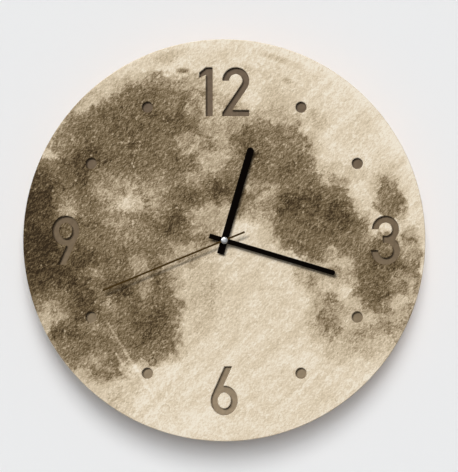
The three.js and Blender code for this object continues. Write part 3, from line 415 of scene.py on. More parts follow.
# Bright ground that lies over the seas, in the same order
HIGHLANDS = [
    # On the western plains
    (-70, 31, 27, 17, 10, 0.27, 0.7), (-71, 28, 8, 6, 0, 0.36, 0.6), (-116, 22, 9, 6, 0, 0.45, 0.5),
    (-12, 18, 14, 12, 0, 0.52, 0.9), (-6, 86, 12, 18, 0, 0.22, 0.4), (-10, 60, 12, 8, 20, 0.30, 0.5),
    (-95, -28, 6, 6, 0, 0.35, 0.5), (-85, -49, 5, 7, 0, 0.30, 0.5), (-128, -54, 13, 8, -20, 0.42, 0.5),
    (-138, -64, 9, 8, 0, 0.50, 0.5), (-44, 74, 5, 4, 0, 0.25, 0.5), (-131, 65, 4, 3, 0, 0.55, 0.6),
    (-69, 58, 1.3, 1.3, 0, 0.80, 0.8), (-78, 76, 1.5, 1.5, 0, 0.55, 0.8), (-43, -125, 8, 8, 0, 0.40, 0.5),
    (-89, 44, 12, 9, 20, 0.30, 0.8), (-53, 43, 14, 7, 0, 0.38, 0.8), (-115, 32, 6, 6, 0, 0.25, 0.6),
    (-92, 34, 8, 7, 0, 0.16, 0.7), (-27, 72, 10, 9, 0, 0.58, 0.6), (-98, 0, 13, 6, 0, 0.26, 0.8),
    (-74, 12, 12, 6, 0, 0.08, 0.8), (-30, 9, 12, 5, 0, 0.24, 0.6), (-31, -4, 8, 5, 0, 0.30, 0.7),
    (-122, 76, 14, 10, 40, 0.24, 0.7), (-96, 105, 18, 7, 38, 0.66, 0.5), (-70, 117, 12, 5, 12, 0.40, 0.5),
    (-44, 104, 10, 8, 0, 0.36, 0.5), (-38, 96, 5, 5, 0, 0.30, 0.6), (-18, 46, 6, 6, 0, 0.25, 0.6),
    (-21, 98, 7, 10, 0, 0.45, 0.5), (-4, 111, 6, 8, 0, 0.40, 0.5), (11, 88, 4, 12, 0, 0.28, 0.6),
    (-45, 24, 8, 11, 0, 0.28, 0.6), (-61, -26, 8, 16, 15, 0.46, 0.5), (-102, -26, 8, 6, 0, 0.26, 0.5),
    (-100, -10, 12, 5, 0, 0.22, 0.5), (-74, 1, 10, 4, 0, 0.20, 0.5), (-96, -89, 8, 8, 0, 0.34, 0.5),
    (-100, -65, 8, 8, 0, 0.28, 0.5), (-72, -64, 10, 4, 0, 0.14, 0.5), (-34, -59, 5, 5, 0, 0.20, 0.5),
    (-113, 50, 8, 10, 0, 0.13, 0.6), (-92, 14, 9, 4, -20, 0.24, 0.5), (4, 60, 12, 16, 0, 0.22, 0.6),
    (-118, -44, 10, 4, -35, 0.22, 0.5), (-12, 7, 14, 4, 0, 0.26, 0.5), (-25, -137, 18, 9, 0, 0.40, 0.8),
    (-10, -110, 9, 20, 0, 0.25, 0.8),
    # On the eastern plains
    (22, 3, 15, 11, 0, 0.56, 0.8), (107, 36, 7, 20, -20, 0.70, 0.4), (119, 8, 7, 4, 0, 0.38, 0.5),
    (130, -47, 6, 6, 0, 0.50, 0.5), (82, -12, 11, 7, -10, 0.55, 0.5), (44, 93, 16, 5, 0, 0.50, 0.5),
    (65, 77, 5, 9, 40, 0.40, 0.5), (58, 83, 6, 5, -40, 0.30, 0.6), (4, 44, 8, 6, 0, 0.16, 0.6),
    (4, 70, 5, 8, 0, 0.14, 0.6), (131, -35, 9, 13, 15, 0.45, 0.5), (130, 48, 10, 6, 0, 0.55, 0.5),
    (103, -3, 6, 7, 0, 0.30, 0.5), (89, 30, 8, 5, 20, 0.20, 0.6), (73, 46, 6, 6, 0, 0.20, 0.6),
    (127, -5, 10, 8, 0, 0.42, 0.5), (90, -57, 5, 11, 0, 0.34, 0.5), (98, -80, 14, 8, 0, 0.30, 0.5),
    (119, -48, 9, 5, 0, 0.45, 0.5), (57, 86, 5, 6, 0, 0.28, 0.5),
]
# Flat craters seen from the side, near the upper rim, in the same order
SPOTS = [
    (-30.5, 126.5, 4.5, 1.9, 0, 0.45, 0.8), (38, 136, 10, 2.2, -18, 0.22, 1.0), (47, 119, 3.6, 1.8, -20, 0.30, 1.0),
    (39, 106, 9, 6, -10, 0.10, 1.0), (-43, 136, 16, 4, 14, 0.15, 1.0), (15, 128, 8, 3, -10, 0.14, 1.0),
]
# Long straight rays, a paler band along the upper rim and the palest ground, in the same order
LINES = [
    (-67, -94, 32, 1.1, -58, 0.28, 1.0), (-76, -92, 24, 0.8, -57, 0.14, 1.0), (72, 128, 34, 5, -30, 0.26, 1.0),
    (118, 88, 34, 5, -54, 0.30, 1.0), (137, 52, 18, 5, -69, 0.26, 1.0), (0, 147, 32, 4, 0, 0.22, 1.0),
    (-24, -136, 22, 11, 0, 0.16, 1.0), (-10, -112, 11, 22, 0, 0.12, 1.0),
]
# Single craters that stand out: x, y, radius, strength
CRATERS = [(-44, -125.7, 3.6, 0.18), (-53.6, -90.7, 3.2, 0.34), (-58, -70, 2.4, 0.34)]
# Bright craters with rays: x, y, reach, strength
RAYS = [(-71, 30, 34, 0.27), (-116, 24, 20, 0.26), (-43, -125, 120, 0.08), (-131, 65, 12, 0.30)]
# Noise that breaks up the coastlines: reach, size
WANDERS = [(8.0, 32.0), (8.0, 12.0), (5.0, 3.2)]
# Noise that bends rays and streaks: reach, size
BEND = (3.5, 5.0)
# Clouds of lighter and darker ground: size, strength where it is dark, strength where it is bright
CLOUDS = [(16.0, 0.8, 0.38), (5.0, 0.95, 0.27), (1.8, 0.5, 0.3)]
# Light of the plains, of the bright ground and of what shines more than that
PLAIN, GROUND, SHINE = 0.0, 1.0, 1.35
# The softest edge of an oval reaches this far to both sides of one half
SOFTEST_EDGE = 0.4
# Colours from the darkest light to the brightest
MOON_TONES = [(0.0, "#322616"), (0.17, "#56462f"), (0.35, "#766549"), (0.54, "#a59378"), (0.74, "#d0bfa3"),
              (0.87, "#e4d4ba"), (1.0, "#f3e9d6")]


def strayed(tree, place, ground, reach, size, **noise):
    """Ground that is moved about, within a reach, by noise of a size."""
    cloud = add(tree, "TexNoise", {"Vector": place, "Scale": 1 / size, **noise})
    centred = add(tree, "VectorMath", {0: cloud.outputs["Color"], 1: (0.5, 0.5, 0.5)}, operation="SUBTRACT")
    return add(tree, "VectorMath", {0: centred.outputs["Vector"], 1: (2 * reach, 0, 2 * reach), 2: ground},
               operation="MULTIPLY_ADD").outputs["Vector"]


def oval(tree, ground, x, y, width, height, tilt=0.0):
    """A ball over an oval of the print, twice its size: one in the middle and one half along the oval's edge."""
    local = add(tree, "Mapping", {"Vector": ground, "Location": (x, 0, y), "Scale": (2 * width, 1e6, 2 * height),
                                  "Rotation": (0, -math.radians(tilt), 0)}, vector_type="TEXTURE")
    ball = add(tree, "TexGradient", {"Vector": local.outputs["Vector"]}, gradient_type="SPHERICAL")
    return ball.outputs["Fac"]


def swayed(tree, light, wave, swing):
    """The light, raised and lowered by a wave that runs about one half."""
    drift = add(tree, "Math", {0: wave, 1: 0.5}, operation="SUBTRACT").outputs["Value"]
    return add(tree, "Math", {0: drift, 1: swing, 2: light}, operation="MULTIPLY_ADD").outputs["Value"]


def laid_ovals(tree, place, wander):
    """The light of plains and bright ground, laid over one another oval by oval."""
    light = GROUND
    for table, ground, tone in ((SEAS, wander, PLAIN), (HIGHLANDS, wander, GROUND), (SPOTS, place, PLAIN),
                                (LINES, place, SHINE)):
        for x, y, width, height, tilt, depth, soft in table:
            edge = SOFTEST_EDGE * soft
            mask = add(tree, "MapRange", {"Value": oval(tree, ground, x, y, width, height, tilt),
                                          "From Min": 0.5 - edge, "From Max": 0.5 + edge,
                                          "To Min": 0.0, "To Max": depth}, interpolation_type="SMOOTHSTEP")
            light = add(tree, "Mix", {0: mask.outputs["Result"], 2: light, 3: tone}).outputs[0]
    return light


def with_rays(tree, light, bent):
    """Rays leave the bright craters, a little bent."""
    for x, y, reach, strength in RAYS:
        apart = add(tree, "Mapping", {"Vector": bent, "Location": (-x, 0, -y), "Scale": (1, 0, 1)}).outputs["Vector"]
        heading = add(tree, "VectorMath", {0: apart}, operation="NORMALIZE").outputs["Vector"]
        away = add(tree, "VectorMath", {0: apart}, operation="LENGTH").outputs["Value"]
        streaks = add(tree, "TexNoise", {"Vector": heading, "Scale": 9.0, "Detail": 3.0})
        ray = add(tree, "MapRange", {"Value": streaks.outputs["Fac"], "From Min": 0.42, "From Max": 0.68})
        fade = add(tree, "MapRange", {"Value": away, "From Max": reach, "To Min": strength, "To Max": 0.0})
        light = add(tree, "Math", {0: ray.outputs["Result"], 1: fade.outputs["Result"], 2: light},
                    operation="MULTIPLY_ADD").outputs["Value"]
    return light


def with_clouds(tree, light, wander):
    """Clouds of ground, stronger where it is dark, and the coasts of the plains. It also gives the finest clouds."""
    for size, dark, bright in CLOUDS:
        clouds = add(tree, "TexNoise", {"Vector": wander, "Scale": 1 / size, "Detail": 5.0,
                                        "Roughness": 0.65}).outputs["Fac"]
        spread = add(tree, "MapRange", {"Value": light, "From Min": 0.3, "From Max": 1.0, "To Min": dark,
                                        "To Max": bright})
        light = swayed(tree, light, clouds, spread.outputs["Result"])
    # The plains end in a clear coast: what is half dark is drawn down to their tone
    coast = add(tree, "MapRange", {"Value": light, "From Min": 0.46, "From Max": 1.12, "To Min": 0.42, "To Max": 1.3},
                interpolation_type="SMOOTHSTEP")
    light = add(tree, "Math", {0: light, 1: coast.outputs["Result"]}, operation="MINIMUM").outputs["Value"]
    return light, clouds


def with_craters(tree, light, place, wander):
    """Small craters, 9 mm apart at most, each with a pale rim, and the single ones, each with a dark ring."""
    pits = add(tree, "TexVoronoi", {"Vector": wander, "Scale": 1 / 9, "Randomness": 1.0})
    rim = add(tree, "ValToRGB", {"Fac": pits.outputs["Distance"]},
              stops=[(0.0, "#6a6a6a"), (0.16, "#707070"), (0.22, "#a8a8a8"), (0.34, "#808080"), (1.0, "#808080")])
    lift = add(tree, "MapRange", {"Value": rim.outputs["Color"], "From Min": 0.0, "From Max": 1.0,
                                  "To Min": -0.13, "To Max": 0.46})
    light = add(tree, "Math", {0: light, 1: lift.outputs["Result"]}, operation="ADD").outputs["Value"]
    for x, y, radius, strength in CRATERS:
        ring = add(tree, "ValToRGB", {"Fac": oval(tree, place, x, y, radius, radius)},
                   stops=[(0.34, "#bcbcbc"), (0.44, "#d8d8d8"), (0.53, "#707070"), (0.72, "#c4c4c4"),
                          (1.0, "#d4d4d4")])
        lift = add(tree, "MapRange", {"Value": ring.outputs["Color"], "To Min": -strength, "To Max": strength})
        light = add(tree, "Math", {0: light, 1: lift.outputs["Result"]}, operation="ADD").outputs["Value"]
    return light


def with_tooth_and_painted_relief(tree, light, place, patches):
    """The tooth of the board runs from lower left to upper right. Its slopes are painted as light and shade, lit from
    the upper left and shaded to the lower right. It is drawn 2 mm coarse, so that it shows, and it is strongest on
    the dark ground."""
    teeth = []
    for shift in (0.0, 0.45):
        laid = add(tree, "Mapping", {"Vector": place, "Location": (-shift, 0, shift), "Scale": (1.4, 1, 1),
                                     "Rotation": (0, -math.radians(45), 0)}, vector_type="TEXTURE")
        tooth = add(tree, "TexNoise", {"Vector": laid.outputs["Vector"], "Scale": 1 / 2.0, "Detail": 6.0,
                                       "Roughness": 0.8, "Distortion": 0.2})
        teeth.append(tooth.outputs["Fac"])
    # The tooth less its moved copy is painted light and shade, as if lit from the upper left
    slope = add(tree, "Math", {0: teeth[0], 1: teeth[1]}, operation="SUBTRACT").outputs["Value"]
    swing = add(tree, "MapRange", {"Value": light, "From Min": 0.2, "From Max": 1.0, "To Min": 2.45, "To Max": 1.12})
    swing = add(tree, "Math", {0: swing.outputs["Result"], 1: patches}, operation="MULTIPLY").outputs["Value"]
    light = add(tree, "Math", {0: slope, 1: swing, 2: light}, operation="MULTIPLY_ADD").outputs["Value"]
    return swayed(tree, light, teeth[0], swing), teeth[0]


def with_streaks(tree, light, bent):
    """Long faint streaks on the bright ground, 80 mm by 4.5 mm."""
    laid = add(tree, "Mapping", {"Vector": bent, "Scale": (80, 1, 4.5), "Rotation": (0, -math.radians(42), 0)},
               vector_type="TEXTURE")
    brushed = add(tree, "TexNoise", {"Vector": laid.outputs["Vector"], "Scale": 1.0, "Detail": 3.0})
    swing = add(tree, "MapRange", {"Value": light, "From Min": 0.5, "From Max": 1.0, "To Min": 0.0, "To Max": 0.36})
    return swayed(tree, light, brushed.outputs["Fac"], swing.outputs["Result"])


def with_specks(tree, light, place):
    """Bright specks of ejecta, one in four cells of a 5 mm net."""
    net = add(tree, "TexVoronoi", {"Vector": place, "Scale": 1 / 5})
    shine = add(tree, "MapRange", {"Value": light, "From Min": 0.3, "From Max": 1.0, "To Min": 0.36, "To Max": 0.08})
    speck = add(tree, "MapRange", {"Value": net.outputs["Distance"], "From Min": 0.08, "From Max": 0.22,
                                   "To Min": shine.outputs["Result"], "To Max": 0.0})
    chosen = add(tree, "MapRange", {"Value": net.outputs["Color"], "From Min": 0.55, "From Max": 0.75})
    return add(tree, "Math", {0: speck.outputs["Result"], 1: chosen.outputs["Result"], 2: light},
               operation="MULTIPLY_ADD").outputs["Value"]


def moon_print():
    """Ink printed on primed fibreboard: a matt picture of the moon with the board's fine tooth in it, the tooth's
    slopes painted as light and shade.
    """
    made, tree, shader, place = finish("printed_fibreboard", IOR=1.5, Specular_IOR_Level=0.06)
    wander = place
    for reach, size in WANDERS:
        wander = strayed(tree, place, wander, reach, size, Detail=4.0, Roughness=0.65)
    light = laid_ovals(tree, place, wander)
    bent = strayed(tree, place, place, *BEND, Detail=2.0)
    light = with_rays(tree, light, bent)
    light, patches = with_clouds(tree, light, wander)
    light = with_craters(tree, light, place, wander)
    # The board's tooth, with its slopes painted as light and shade from the upper left
    light, tooth = with_tooth_and_painted_relief(tree, light, place, patches)
    light = with_streaks(tree, light, bent)
    light = with_specks(tree, light, place)
    toned = add(tree, "MapRange", {"Value": light, "From Min": 0.0, "From Max": 1.15}).outputs["Result"]
    colour = add(tree, "ValToRGB", {"Fac": toned}, stops=MOON_TONES)
    tree.links.new(colour.outputs["Color"], shader.inputs["Base Color"])
    gloss = add(tree, "MapRange", {"Value": tooth, "To Min": 0.5, "To Max": 0.75})
    tree.links.new(gloss.outputs["Result"], shader.inputs["Roughness"])
    bump = add(tree, "Bump", {"Height": tooth, "Strength": 0.2, "Distance": 0.25 * MM})
    tree.links.new(bump.outputs["Normal"], shader.inputs["Normal"])
    return made


def tinted_sheet():
    """Satin acrylic, tinted taupe: it is a little paler towards the foot of the dial."""
    made, tree, shader, place = finish("satin_tinted_acrylic", IOR=1.49, Specular_IOR_Level=0.02)
    parts = add(tree, "SeparateXYZ", {"Vector": place})
    height = add(tree, "MapRange", {"Value": parts.outputs["Z"], "From Min": -130.0, "From Max": 130.0})
    tone = add(tree, "ValToRGB", {"Fac": height.outputs["Result"]},
               stops=[(0.0, "#a5937a"), (0.25, "#94836a"), (0.5, "#7f6e58"), (1.0, "#786857")])
    haze = add(tree, "TexNoise", {"Vector": place, "Scale": 1 / 3.0, "Detail": 3.0})
    cloud = add(tree, "ValToRGB", {"Fac": haze.outputs["Fac"]}, stops=[(0.3, "#e8e8e8"), (0.7, "#ffffff")])
    colour = add(tree, "Mix", {0: 1.0, 6: tone.outputs["Color"], 7: cloud.outputs["Color"]},
                 data_type="RGBA", blend_type="MULTIPLY")
    tree.links.new(colour.outputs[2], shader.inputs["Base Color"])
    gloss = add(tree, "MapRange", {"Value": haze.outputs["Fac"], "To Min": 0.35, "To Max": 0.5})
    tree.links.new(gloss.outputs["Result"], shader.inputs["Roughness"])
    return made


print_finish = moon_print()
sheet_finish = tinted_sheet()
# Medium-density fibreboard, sawn: brown with fibres about 1 mm long
board_finish = mottled("sawn_fibreboard", [(0.3, "#8a6238"), (0.5, "#a67d50"), (0.7, "#bd9566")], 1.0, (0.25, 0.1),
                       (0.75, 0.9), stretch=(1, 2, 1), IOR=1.5)
# The cut through the printed board is singed by the laser: dark brown, matt
singed_finish = mottled("laser_cut_fibreboard", [(0.3, "#2a1a0c"), (0.6, "#4a3018"), (0.8, "#6a4a2a")], 0.8,
                        (0.25, 0.08), (0.8, 0.95), stretch=(1, 0.4, 1), IOR=1.5)
# Aluminium sheet under black satin lacquer: fine spray texture, 0.6 mm
lacquer_finish = mottled("black_lacquered_aluminium", [(0.3, "#040201"), (0.7, "#080402")], 0.6, (0.06, 0.02),
                         (0.45, 0.58), IOR=1.5, Specular_IOR_Level=0.01)
# The same sheet under dark bronze lacquer: the thin hand is browner than the other two
bronze_finish = mottled("bronze_lacquered_aluminium", [(0.3, "#3c2c12"), (0.7, "#4a3718")], 0.6, (0.06, 0.02),
                        (0.45, 0.58), IOR=1.5, Specular_IOR_Level=0.03)
# Turned aluminium, polished: pale grey, softly mirroring
bright_finish = mottled("polished_aluminium", [(0.3, "#a6a8aa"), (0.7, "#c0c2c4")], 0.5, (0.04, 0.01), (0.26, 0.36),
                        Metallic=1.0)
# ABS moulded in a spark-eroded tool: even black with a fine matt grain, drawn 0.7 mm coarse
abs_finish = mottled("moulded_black_abs", [(0.3, "#1d1d1f"), (0.7, "#29292b")], 0.7, (0.18, 0.04), (0.42, 0.58),
                     IOR=1.53)
# Acetal, moulded: milky white with a slight waxy sheen
acetal_finish = mottled("moulded_white_acetal", [(0.3, "#dcd9cf"), (0.7, "#ebe9e1")], 1.5, (0.08, 0.02),
                        (0.32, 0.44), IOR=1.48)
# Zinc plating on steel: bluish grey with faint clouds
zinc_finish = mottled("zinc_plated_steel", [(0.3, "#8f9396"), (0.7, "#adb0b2")], 1.2, (0.08, 0.02), (0.28, 0.42),
                      Metallic=1.0)
# Brass, turned
brass_finish = mottled("turned_brass", [(0.3, "#a9823c"), (0.7, "#c7a257")], 0.5, (0.06, 0.02), (0.25, 0.38),
                       Metallic=1.0)
# Enamelled copper wire, wound: turns lie side by side across the bobbin, drawn 0.3 mm thick so that they show
copper_finish = mottled("enamelled_copper_wire", [(0.35, "#6d3418"), (0.55, "#a9582c"), (0.7, "#c97a45")], 0.3,
                        (0.5, 0.1), (0.25, 0.4), stretch=(1, 0.05, 0.05), detail=1.0, Metallic=1.0)
# Glass fibre board under green solder mask
circuit_finish = mottled("green_circuit_board", [(0.3, "#124a2a"), (0.6, "#1d6038"), (0.75, "#2f7a4a")], 1.4,
                         (0.1, 0.03), (0.35, 0.5), IOR=1.52)
# Shrink sleeve printed graphite grey
sleeve_finish = mottled("printed_shrink_sleeve", [(0.3, "#2c2e31"), (0.7, "#3a3d41")], 0.8, (0.05, 0.02),
                        (0.22, 0.32), Metallic=0.2, IOR=1.5)
# Extruded PVC insulation
red_finish = mottled("red_pvc_lead", [(0.3, "#8f1a18"), (0.7, "#b12a25")], 0.8, (0.08, 0.02), (0.4, 0.52), IOR=1.53)
black_finish = mottled("black_pvc_lead", [(0.3, "#111112"), (0.7, "#1b1b1c")], 0.8, (0.08, 0.02), (0.4, 0.52),
                       IOR=1.53)


def dress(piece, body, slot, finishes, *nodes):
    """Gives a new piece its materials and the body it moves with, and hides the CAD nodes it stands for. The slot is
    not used.
    """
    piece.data.materials.clear()
    for each in finishes:
        piece.data.materials.append(each)
    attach(piece, body)
    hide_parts(*nodes)


def face_and_edge(piece):
    """The front takes the first material, the cut edges the second and the back the third. A broken edge goes with
    the face beside it."""
    for polygon in piece.data.polygons:
        facing = polygon.normal.y
        polygon.material_index = 0 if facing < -0.5 else 2 if facing > 0.5 else 1


# Dial

dial_marks = [
    circle(DIAL_RADIUS, steps=DIAL_STEPS),
    shifted(figure_one(), ONE_X, TWELVE_Y),
    shifted(figure_two(), TWO_X, TWELVE_Y),
    shifted(figure_three(), THREE_X, 0),
    shifted(figure_six(), 0, SIX_Y),
    shifted(figure_six(), NINE_X, 0, half_turn=True),
    circle(SHAFT_HOLE),
]
for hour in (1, 2, 4, 5, 7, 8, 10, 11):
    dial_marks.append(circle(DOT_RADIUS, *around(DOT_CIRCLE, 30 * hour)))
printed_dial = plate("printed_dial", dial_marks, DIAL, DIAL_CHAMFER)
six_middle = plate("six_middle", [shifted(six_island(), 0, SIX_Y)], DIAL, DIAL_CHAMFER)
nine_middle = plate("nine_middle", [shifted(six_island(), NINE_X, 0, half_turn=True)], DIAL, DIAL_CHAMFER)
for piece, node in ((printed_dial, "dial_panel"), (six_middle, "six_counter"), (nine_middle, "nine_counter")):
    dress(piece, "clock", "printed_board", (print_finish, singed_finish, board_finish), node)
    face_and_edge(piece)

# Light box

box_rim = circle(BOX_RADIUS, steps=BOX_STEPS)
diffuser_sheet = plate("diffuser_sheet", [box_rim, circle(SHAFT_HOLE)], DIFFUSER, DIFFUSER_CHAMFER)
dress(diffuser_sheet, "clock", "tinted_acrylic", (sheet_finish,), "diffuser")
box_ring = plate("box_ring", [box_rim, circle(RING_BORE, steps=BOX_STEPS)], RING, RING_CHAMFER)
dress(box_ring, "clock", "fibreboard", (board_finish,), "spacer_ring")
panel_outlines = [box_rim, keyhole(), rounded_box(*MOVEMENT_WINDOW), rounded_box(*BATTERY_WINDOW)]
panel_outlines += [circle(SCREW_HOLE, *around(SCREW_CIRCLE, 90 - angle), steps=32) for angle in SCREW_ANGLES]
rear_board = plate("rear_board", panel_outlines, BACK_PANEL, PANEL_CHAMFER)
dress(rear_board, "clock", "fibreboard", (board_finish,), "back_panel")

# Screws with a cross recess, modelled once and copied round the panel, each driven home at its own turn

# Levels of the recess, and the turn from one screw to the next in radians
RECESS = (-0.5, 1.3)
SCREW_TURN = 0.7
screw = turned("screw", [(2.7, 0.15), (3.0, 0.3), (1.4, 1.9), (1.4, 12.0), (0.2, 14.1)], 32)
stand_up(screw)
arm, reach = 0.42, 1.75
corners = [(arm, arm), (arm, reach), (-arm, reach)]
cross = [point for quarter in range(4) for point in swung(corners, quarter * math.pi / 2)]
recess = plate("recess", [cross], RECESS, 0.0)
finish_with(screw, "BOOLEAN", operation="DIFFERENCE", solver="EXACT", object=recess)
bpy.data.objects.remove(recess)
for i, angle in enumerate(SCREW_ANGLES):
    x, y = around(SCREW_CIRCLE, 90 - angle)
    own_turn = Matrix.Translation((0, 0, AXIS_HEIGHT * MM)) @ Matrix.Rotation(SCREW_TURN * i, 4, "Y")
    own_turn = own_turn @ Matrix.Translation((0, 0, -AXIS_HEIGHT * MM))
    twin = copied(screw, f"countersunk_screw_{i + 1}", Matrix.Translation((x * MM, 0, y * MM)) @ own_turn)
    smooth(twin, 20)
    dress(twin, "clock", "zinc_steel", (zinc_finish,), f"back_screw_{i + 1}")
bpy.data.objects.remove(screw)

# Round cells: a shrink sleeve rolled in over both ends, a flat pole below and a nub above

POLE_RADIUS = 5.65
cell = turned("cell", [(4.6, -25.25), (4.8, -25.05), (5.6, -25.05), (5.7, -25.15), (6.7, -25.15), (7.0, -25.0),
                       (7.1, -24.7), (7.1, 23.6), (7.0, 23.9), (6.7, 24.1), (5.8, 24.15), (5.6, 24.0), (3.0, 24.0),
                       (2.75, 24.1), (2.7, 24.3), (2.7, 24.9), (2.6, 25.15), (2.3, 25.25)])
# Node, x, level, height, side of the nub
CELLS = [("clock_cell", 0.0, 14.9, -103.4, 1), ("led_cell_1", -5.5, 10.0, -160.3, -1),
         ("led_cell_2", -5.5, 10.0, -145.7, 1), ("led_cell_3", -5.5, 10.0, -131.1, -1)]
for node, x, level, height, side in CELLS:
    place = Matrix.Translation((x * MM, -level * MM, height * MM)) @ Matrix.Rotation(side * math.pi / 2, 4, "Y")
    twin = copied(cell, "sleeved_" + node, place)
    smooth(twin, 30)
    dress(twin, "clock", "cell_jacket", (sleeve_finish, zinc_finish), node)
    for polygon in twin.data.polygons:
        off_axis = math.hypot(polygon.center.y + level * MM, polygon.center.z - height * MM)
        polygon.material_index = 1 if off_axis < POLE_RADIUS * MM or abs(polygon.normal.x) > 0.99 else 0
bpy.data.objects.remove(cell)

# Hands, each a lacquered bar on its collet

# Node, body, length, tail, width, levels, degrees from twelve, collet radius, finish
HANDS = [
    ("hour_hand", "hours", 72.0, 10.6, 5.2, (32.8, 33.4), 16.2, 2.6, lacquer_finish),
    ("minute_hand", "minutes", 86.0, 11.6, 3.7, (35.0, 35.6), 106.6, 1.85, lacquer_finish),
    ("second_hand", "seconds", 98.0, 16.4, 1.4, (37.2, 37.6), 247.6, 0.8, bronze_finish),
]
for node, body, length, tail, width, levels, degrees, collet_radius, material in HANDS:
    half = width / 2
    outline = [(-half, -tail), (half, -tail)] + arc(0, length - half, half, half, 0, 180, 20)
    outline = swung(outline, -math.radians(degrees))
    blade = plate(node + "_blade", [outline], levels, BLADE_CHAMFER)
    collet_levels = (levels[0] - COLLET_HEIGHT, levels[0])
    collet = plate(node + "_collet", [circle(collet_radius)], collet_levels, COLLET_CHAMFER)
    bar = joined("lacquered_" + node, blade, collet)
    dress(bar, body, "black_paint", (material,), node)

cap = turned("polished_cap", [(2.5, 37.7), (2.65, 37.85), (2.65, 38.35), (2.48, 38.72), (2.18, 38.98), (1.7, 39.13),
                              (1.1, 39.2), (0.5, 39.2)])
stand_up(cap)
smooth(cap, 40)
dress(cap, "seconds", "bright_aluminium", (bright_finish,), "second_cap")

# Rear pieces with their corners broken

# Node, body, slot, finish, width of the broken corner
SOFTENED = [
    ("movement_case", "clock", "black_plastic", abs_finish, 0.25),
    ("movement_cover", "clock", "black_plastic", abs_finish, 0.25),
    ("movement_bracket", "clock", "black_plastic", abs_finish, 0.25),
    ("battery_box", "clock", "black_plastic", abs_finish, 0.25),
    ("battery_door", "door", "black_plastic", abs_finish, 0.25),
    ("set_knob", "setting", "black_plastic", abs_finish, 0.25),
    ("switch_slider", "light_switch", "white_plastic", acetal_finish, 0.15),
]
for node, body, slot, material, width in SOFTENED:
    dress(softened(node, "moulded_" + node, width), body, slot, (material,), node)

# The inner pieces keep their CAD shapes

# Finish, nodes
INNER = [
    (zinc_finish, ["box_contact_plus", "box_contact_minus", "box_link_left", "box_link_right", "clock_contact_plus",
                   "clock_contact_minus", "switch_body", "stator", "rotor"]),
    (acetal_finish, ["led_strip", "intermediate_wheel", "seconds_wheel", "third_wheel", "centre_wheel",
                     "cannon_pinion", "motion_wheel", "hour_wheel"]),
    (brass_finish, ["centre_bushing"]),
    (bright_finish, ["quartz_crystal"]),
    (copper_finish, ["coil"]),
    (circuit_finish, ["circuit_board"]),
    (red_finish, ["lead_red"]),
    (black_finish, ["lead_black"]),
]
for material, nodes in INNER:
    for node in nodes:
        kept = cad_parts[node]
        kept.data.materials.clear()
        kept.data.materials.append(material)

# Stage: a pale wall, six metres square, that is seen and shaded from the front only

WALL_SIZE = 6.0
WALL_GAP = 0.5
WALL_GLOW = 0.14
bpy.ops.object.select_all(action="DESELECT")
bpy.ops.mesh.primitive_plane_add(size=WALL_SIZE, location=(0, WALL_GAP * MM, AXIS_HEIGHT * MM),
                                 rotation=(math.pi / 2, 0, 0))
wall = bpy.context.view_layer.objects.active
wall.name = "wall"
wall_finish = bpy.data.materials.new("painted_wall")
wall_finish.use_nodes = True
wall_tree = wall_finish.node_tree
wall_shader = wall_tree.nodes["Principled BSDF"]
wall_shader.inputs["Base Color"].default_value = linear("#eff0f1")
wall_shader.inputs["Roughness"].default_value = 0.9
wall_shader.inputs["Specular IOR Level"].default_value = 0.0
# To the camera the wall shows a share of its own paleness, so that the shadow on it stays light
paint = wall_shader.outputs["BSDF"]
glow = add(wall_tree, "Emission", {"Color": linear("#ebebeb")}).outputs["Emission"]
looked_at = add(wall_tree, "LightPath").outputs["Is Camera Ray"]
share = add(wall_tree, "Math", {0: looked_at, 1: WALL_GLOW}, operation="MULTIPLY").outputs["Value"]
front = add(wall_tree, "MixShader", {0: share, 1: paint, 2: glow}).outputs["Shader"]
behind = add(wall_tree, "NewGeometry").outputs["Backfacing"]
clear = add(wall_tree, "BsdfTransparent").outputs["BSDF"]
sides = add(wall_tree, "MixShader", {0: behind, 1: front, 2: clear})
wall_tree.links.new(sides.outputs["Shader"], wall_tree.nodes["Material Output"].inputs["Surface"])
wall.data.materials.append(wall_finish)
wall.visible_shadow = False

# Light: the hands and cut-outs are shaded from the upper left, but the shadow on the wall is even to both sides. So
# two lamps above the middle light the wall alone, and the others everything but the wall. The room adds a little

wall_alone = bpy.data.collections.new("wall_alone")
wall_alone.objects.link(wall)
all_but_wall = bpy.data.collections.new("all_but_wall")
all_but_wall.objects.link(wall)
all_but_wall.collection_objects[0].light_linking.link_state = "EXCLUDE"
# Name, towards the lamp, strength, spread in degrees, what it lights
LAMPS = [
    ("wall_high", (0.0, -1.0, 0.7), 1.66, 25, wall_alone),
    ("wall_low", (0.0, -1.0, 0.28), 1.13, 25, wall_alone),
    ("above", (-0.15, -1.0, 0.55), 0.86, 18, all_but_wall),
    ("front", (-0.15, -1.0, 0.35), 0.51, 18, all_but_wall),
    ("upper_left", (-0.5, -1.0, 0.45), 1.48, 10, all_but_wall),
    ("behind", (0.5, 1.0, 0.6), 2.4, 40, all_but_wall),
]
for name, toward, strength, spread, lit in LAMPS:
    lamp = bpy.data.lights.new(name, "SUN")
    lamp.energy = strength
    lamp.angle = math.radians(spread)
    lamp_object = bpy.data.objects.new(name, lamp)
    bpy.context.collection.objects.link(lamp_object)
    lamp_object.rotation_euler = Vector(toward).to_track_quat("Z", "Y").to_euler()
    lamp_object.light_linking.receiver_collection = lit

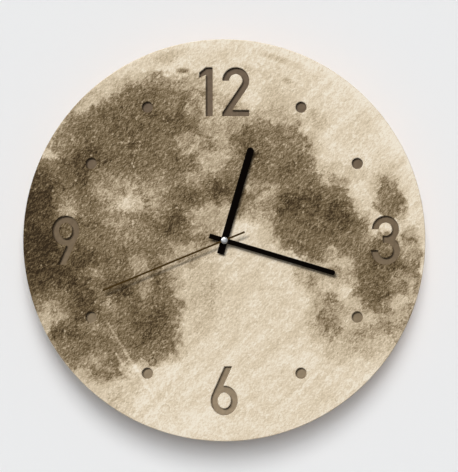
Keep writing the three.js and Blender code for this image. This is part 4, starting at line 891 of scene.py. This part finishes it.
# Strength of the room as light, and as it is seen past the wall
ROOM_LIGHT = 0.18
ROOM_SEEN = 0.83
world = bpy.data.worlds.new("pale_room")
bpy.context.scene.world = world
world.use_nodes = True
room = world.node_tree
paths = add(room, "LightPath")
seen = add(room, "Math", {0: paths.outputs["Is Camera Ray"], 1: paths.outputs["Is Glossy Ray"]}, operation="MAXIMUM")
seen = add(room, "Math", {0: seen.outputs["Value"], 1: paths.outputs["Is Transmission Ray"]}, operation="MAXIMUM")
# Polished pieces mirror a room that is bright above and dim below
heading = add(room, "SeparateXYZ", {"Vector": add(room, "TexCoord").outputs["Generated"]}).outputs["Z"]
mirrored = add(room, "MapRange", {"Value": heading, "From Min": -0.5, "From Max": 0.4, "To Min": 0.3,
                                  "To Max": 0.8}).outputs["Result"]
shown = add(room, "Mix", {0: paths.outputs["Is Glossy Ray"], 2: ROOM_SEEN, 3: mirrored}).outputs[0]
level = add(room, "Mix", {0: seen.outputs["Value"], 2: ROOM_LIGHT, 3: shown})
room.links.new(level.outputs[0], room.nodes["Background"].inputs["Strength"])
room.nodes["Background"].inputs["Color"].default_value = (1, 1, 1, 1)

# Camera: square to the dial, two metres off, so that 300 mm fill 402 of the picture's 458 by 472 pixels. It stands a
# little to the right of and above the hand axis, as the disc lies in the picture

PICTURE_HEIGHT = 472
PIXELS_PER_MM = 1.3407
DISTANCE = 2000.0
ASIDE, ABOVE = 3.5, 3.2
SENSOR = 36.0
camera_data = bpy.data.cameras.new("camera")
camera_data.sensor_fit = "VERTICAL"
camera_data.sensor_height = SENSOR
camera_data.lens = PIXELS_PER_MM * DISTANCE * SENSOR / PICTURE_HEIGHT
camera_data.clip_start = 0.05
camera = bpy.data.objects.new("camera", camera_data)
bpy.context.collection.objects.link(camera)
camera.location = (ASIDE * MM, -(DISTANCE + DIAL[1]) * MM, (AXIS_HEIGHT + ABOVE) * MM)
camera.rotation_euler = (math.pi / 2, 0, 0)
bpy.context.scene.camera = camera
bpy.context.scene.view_settings.view_transform = "Standard"

bpy.context.view_layer.update()
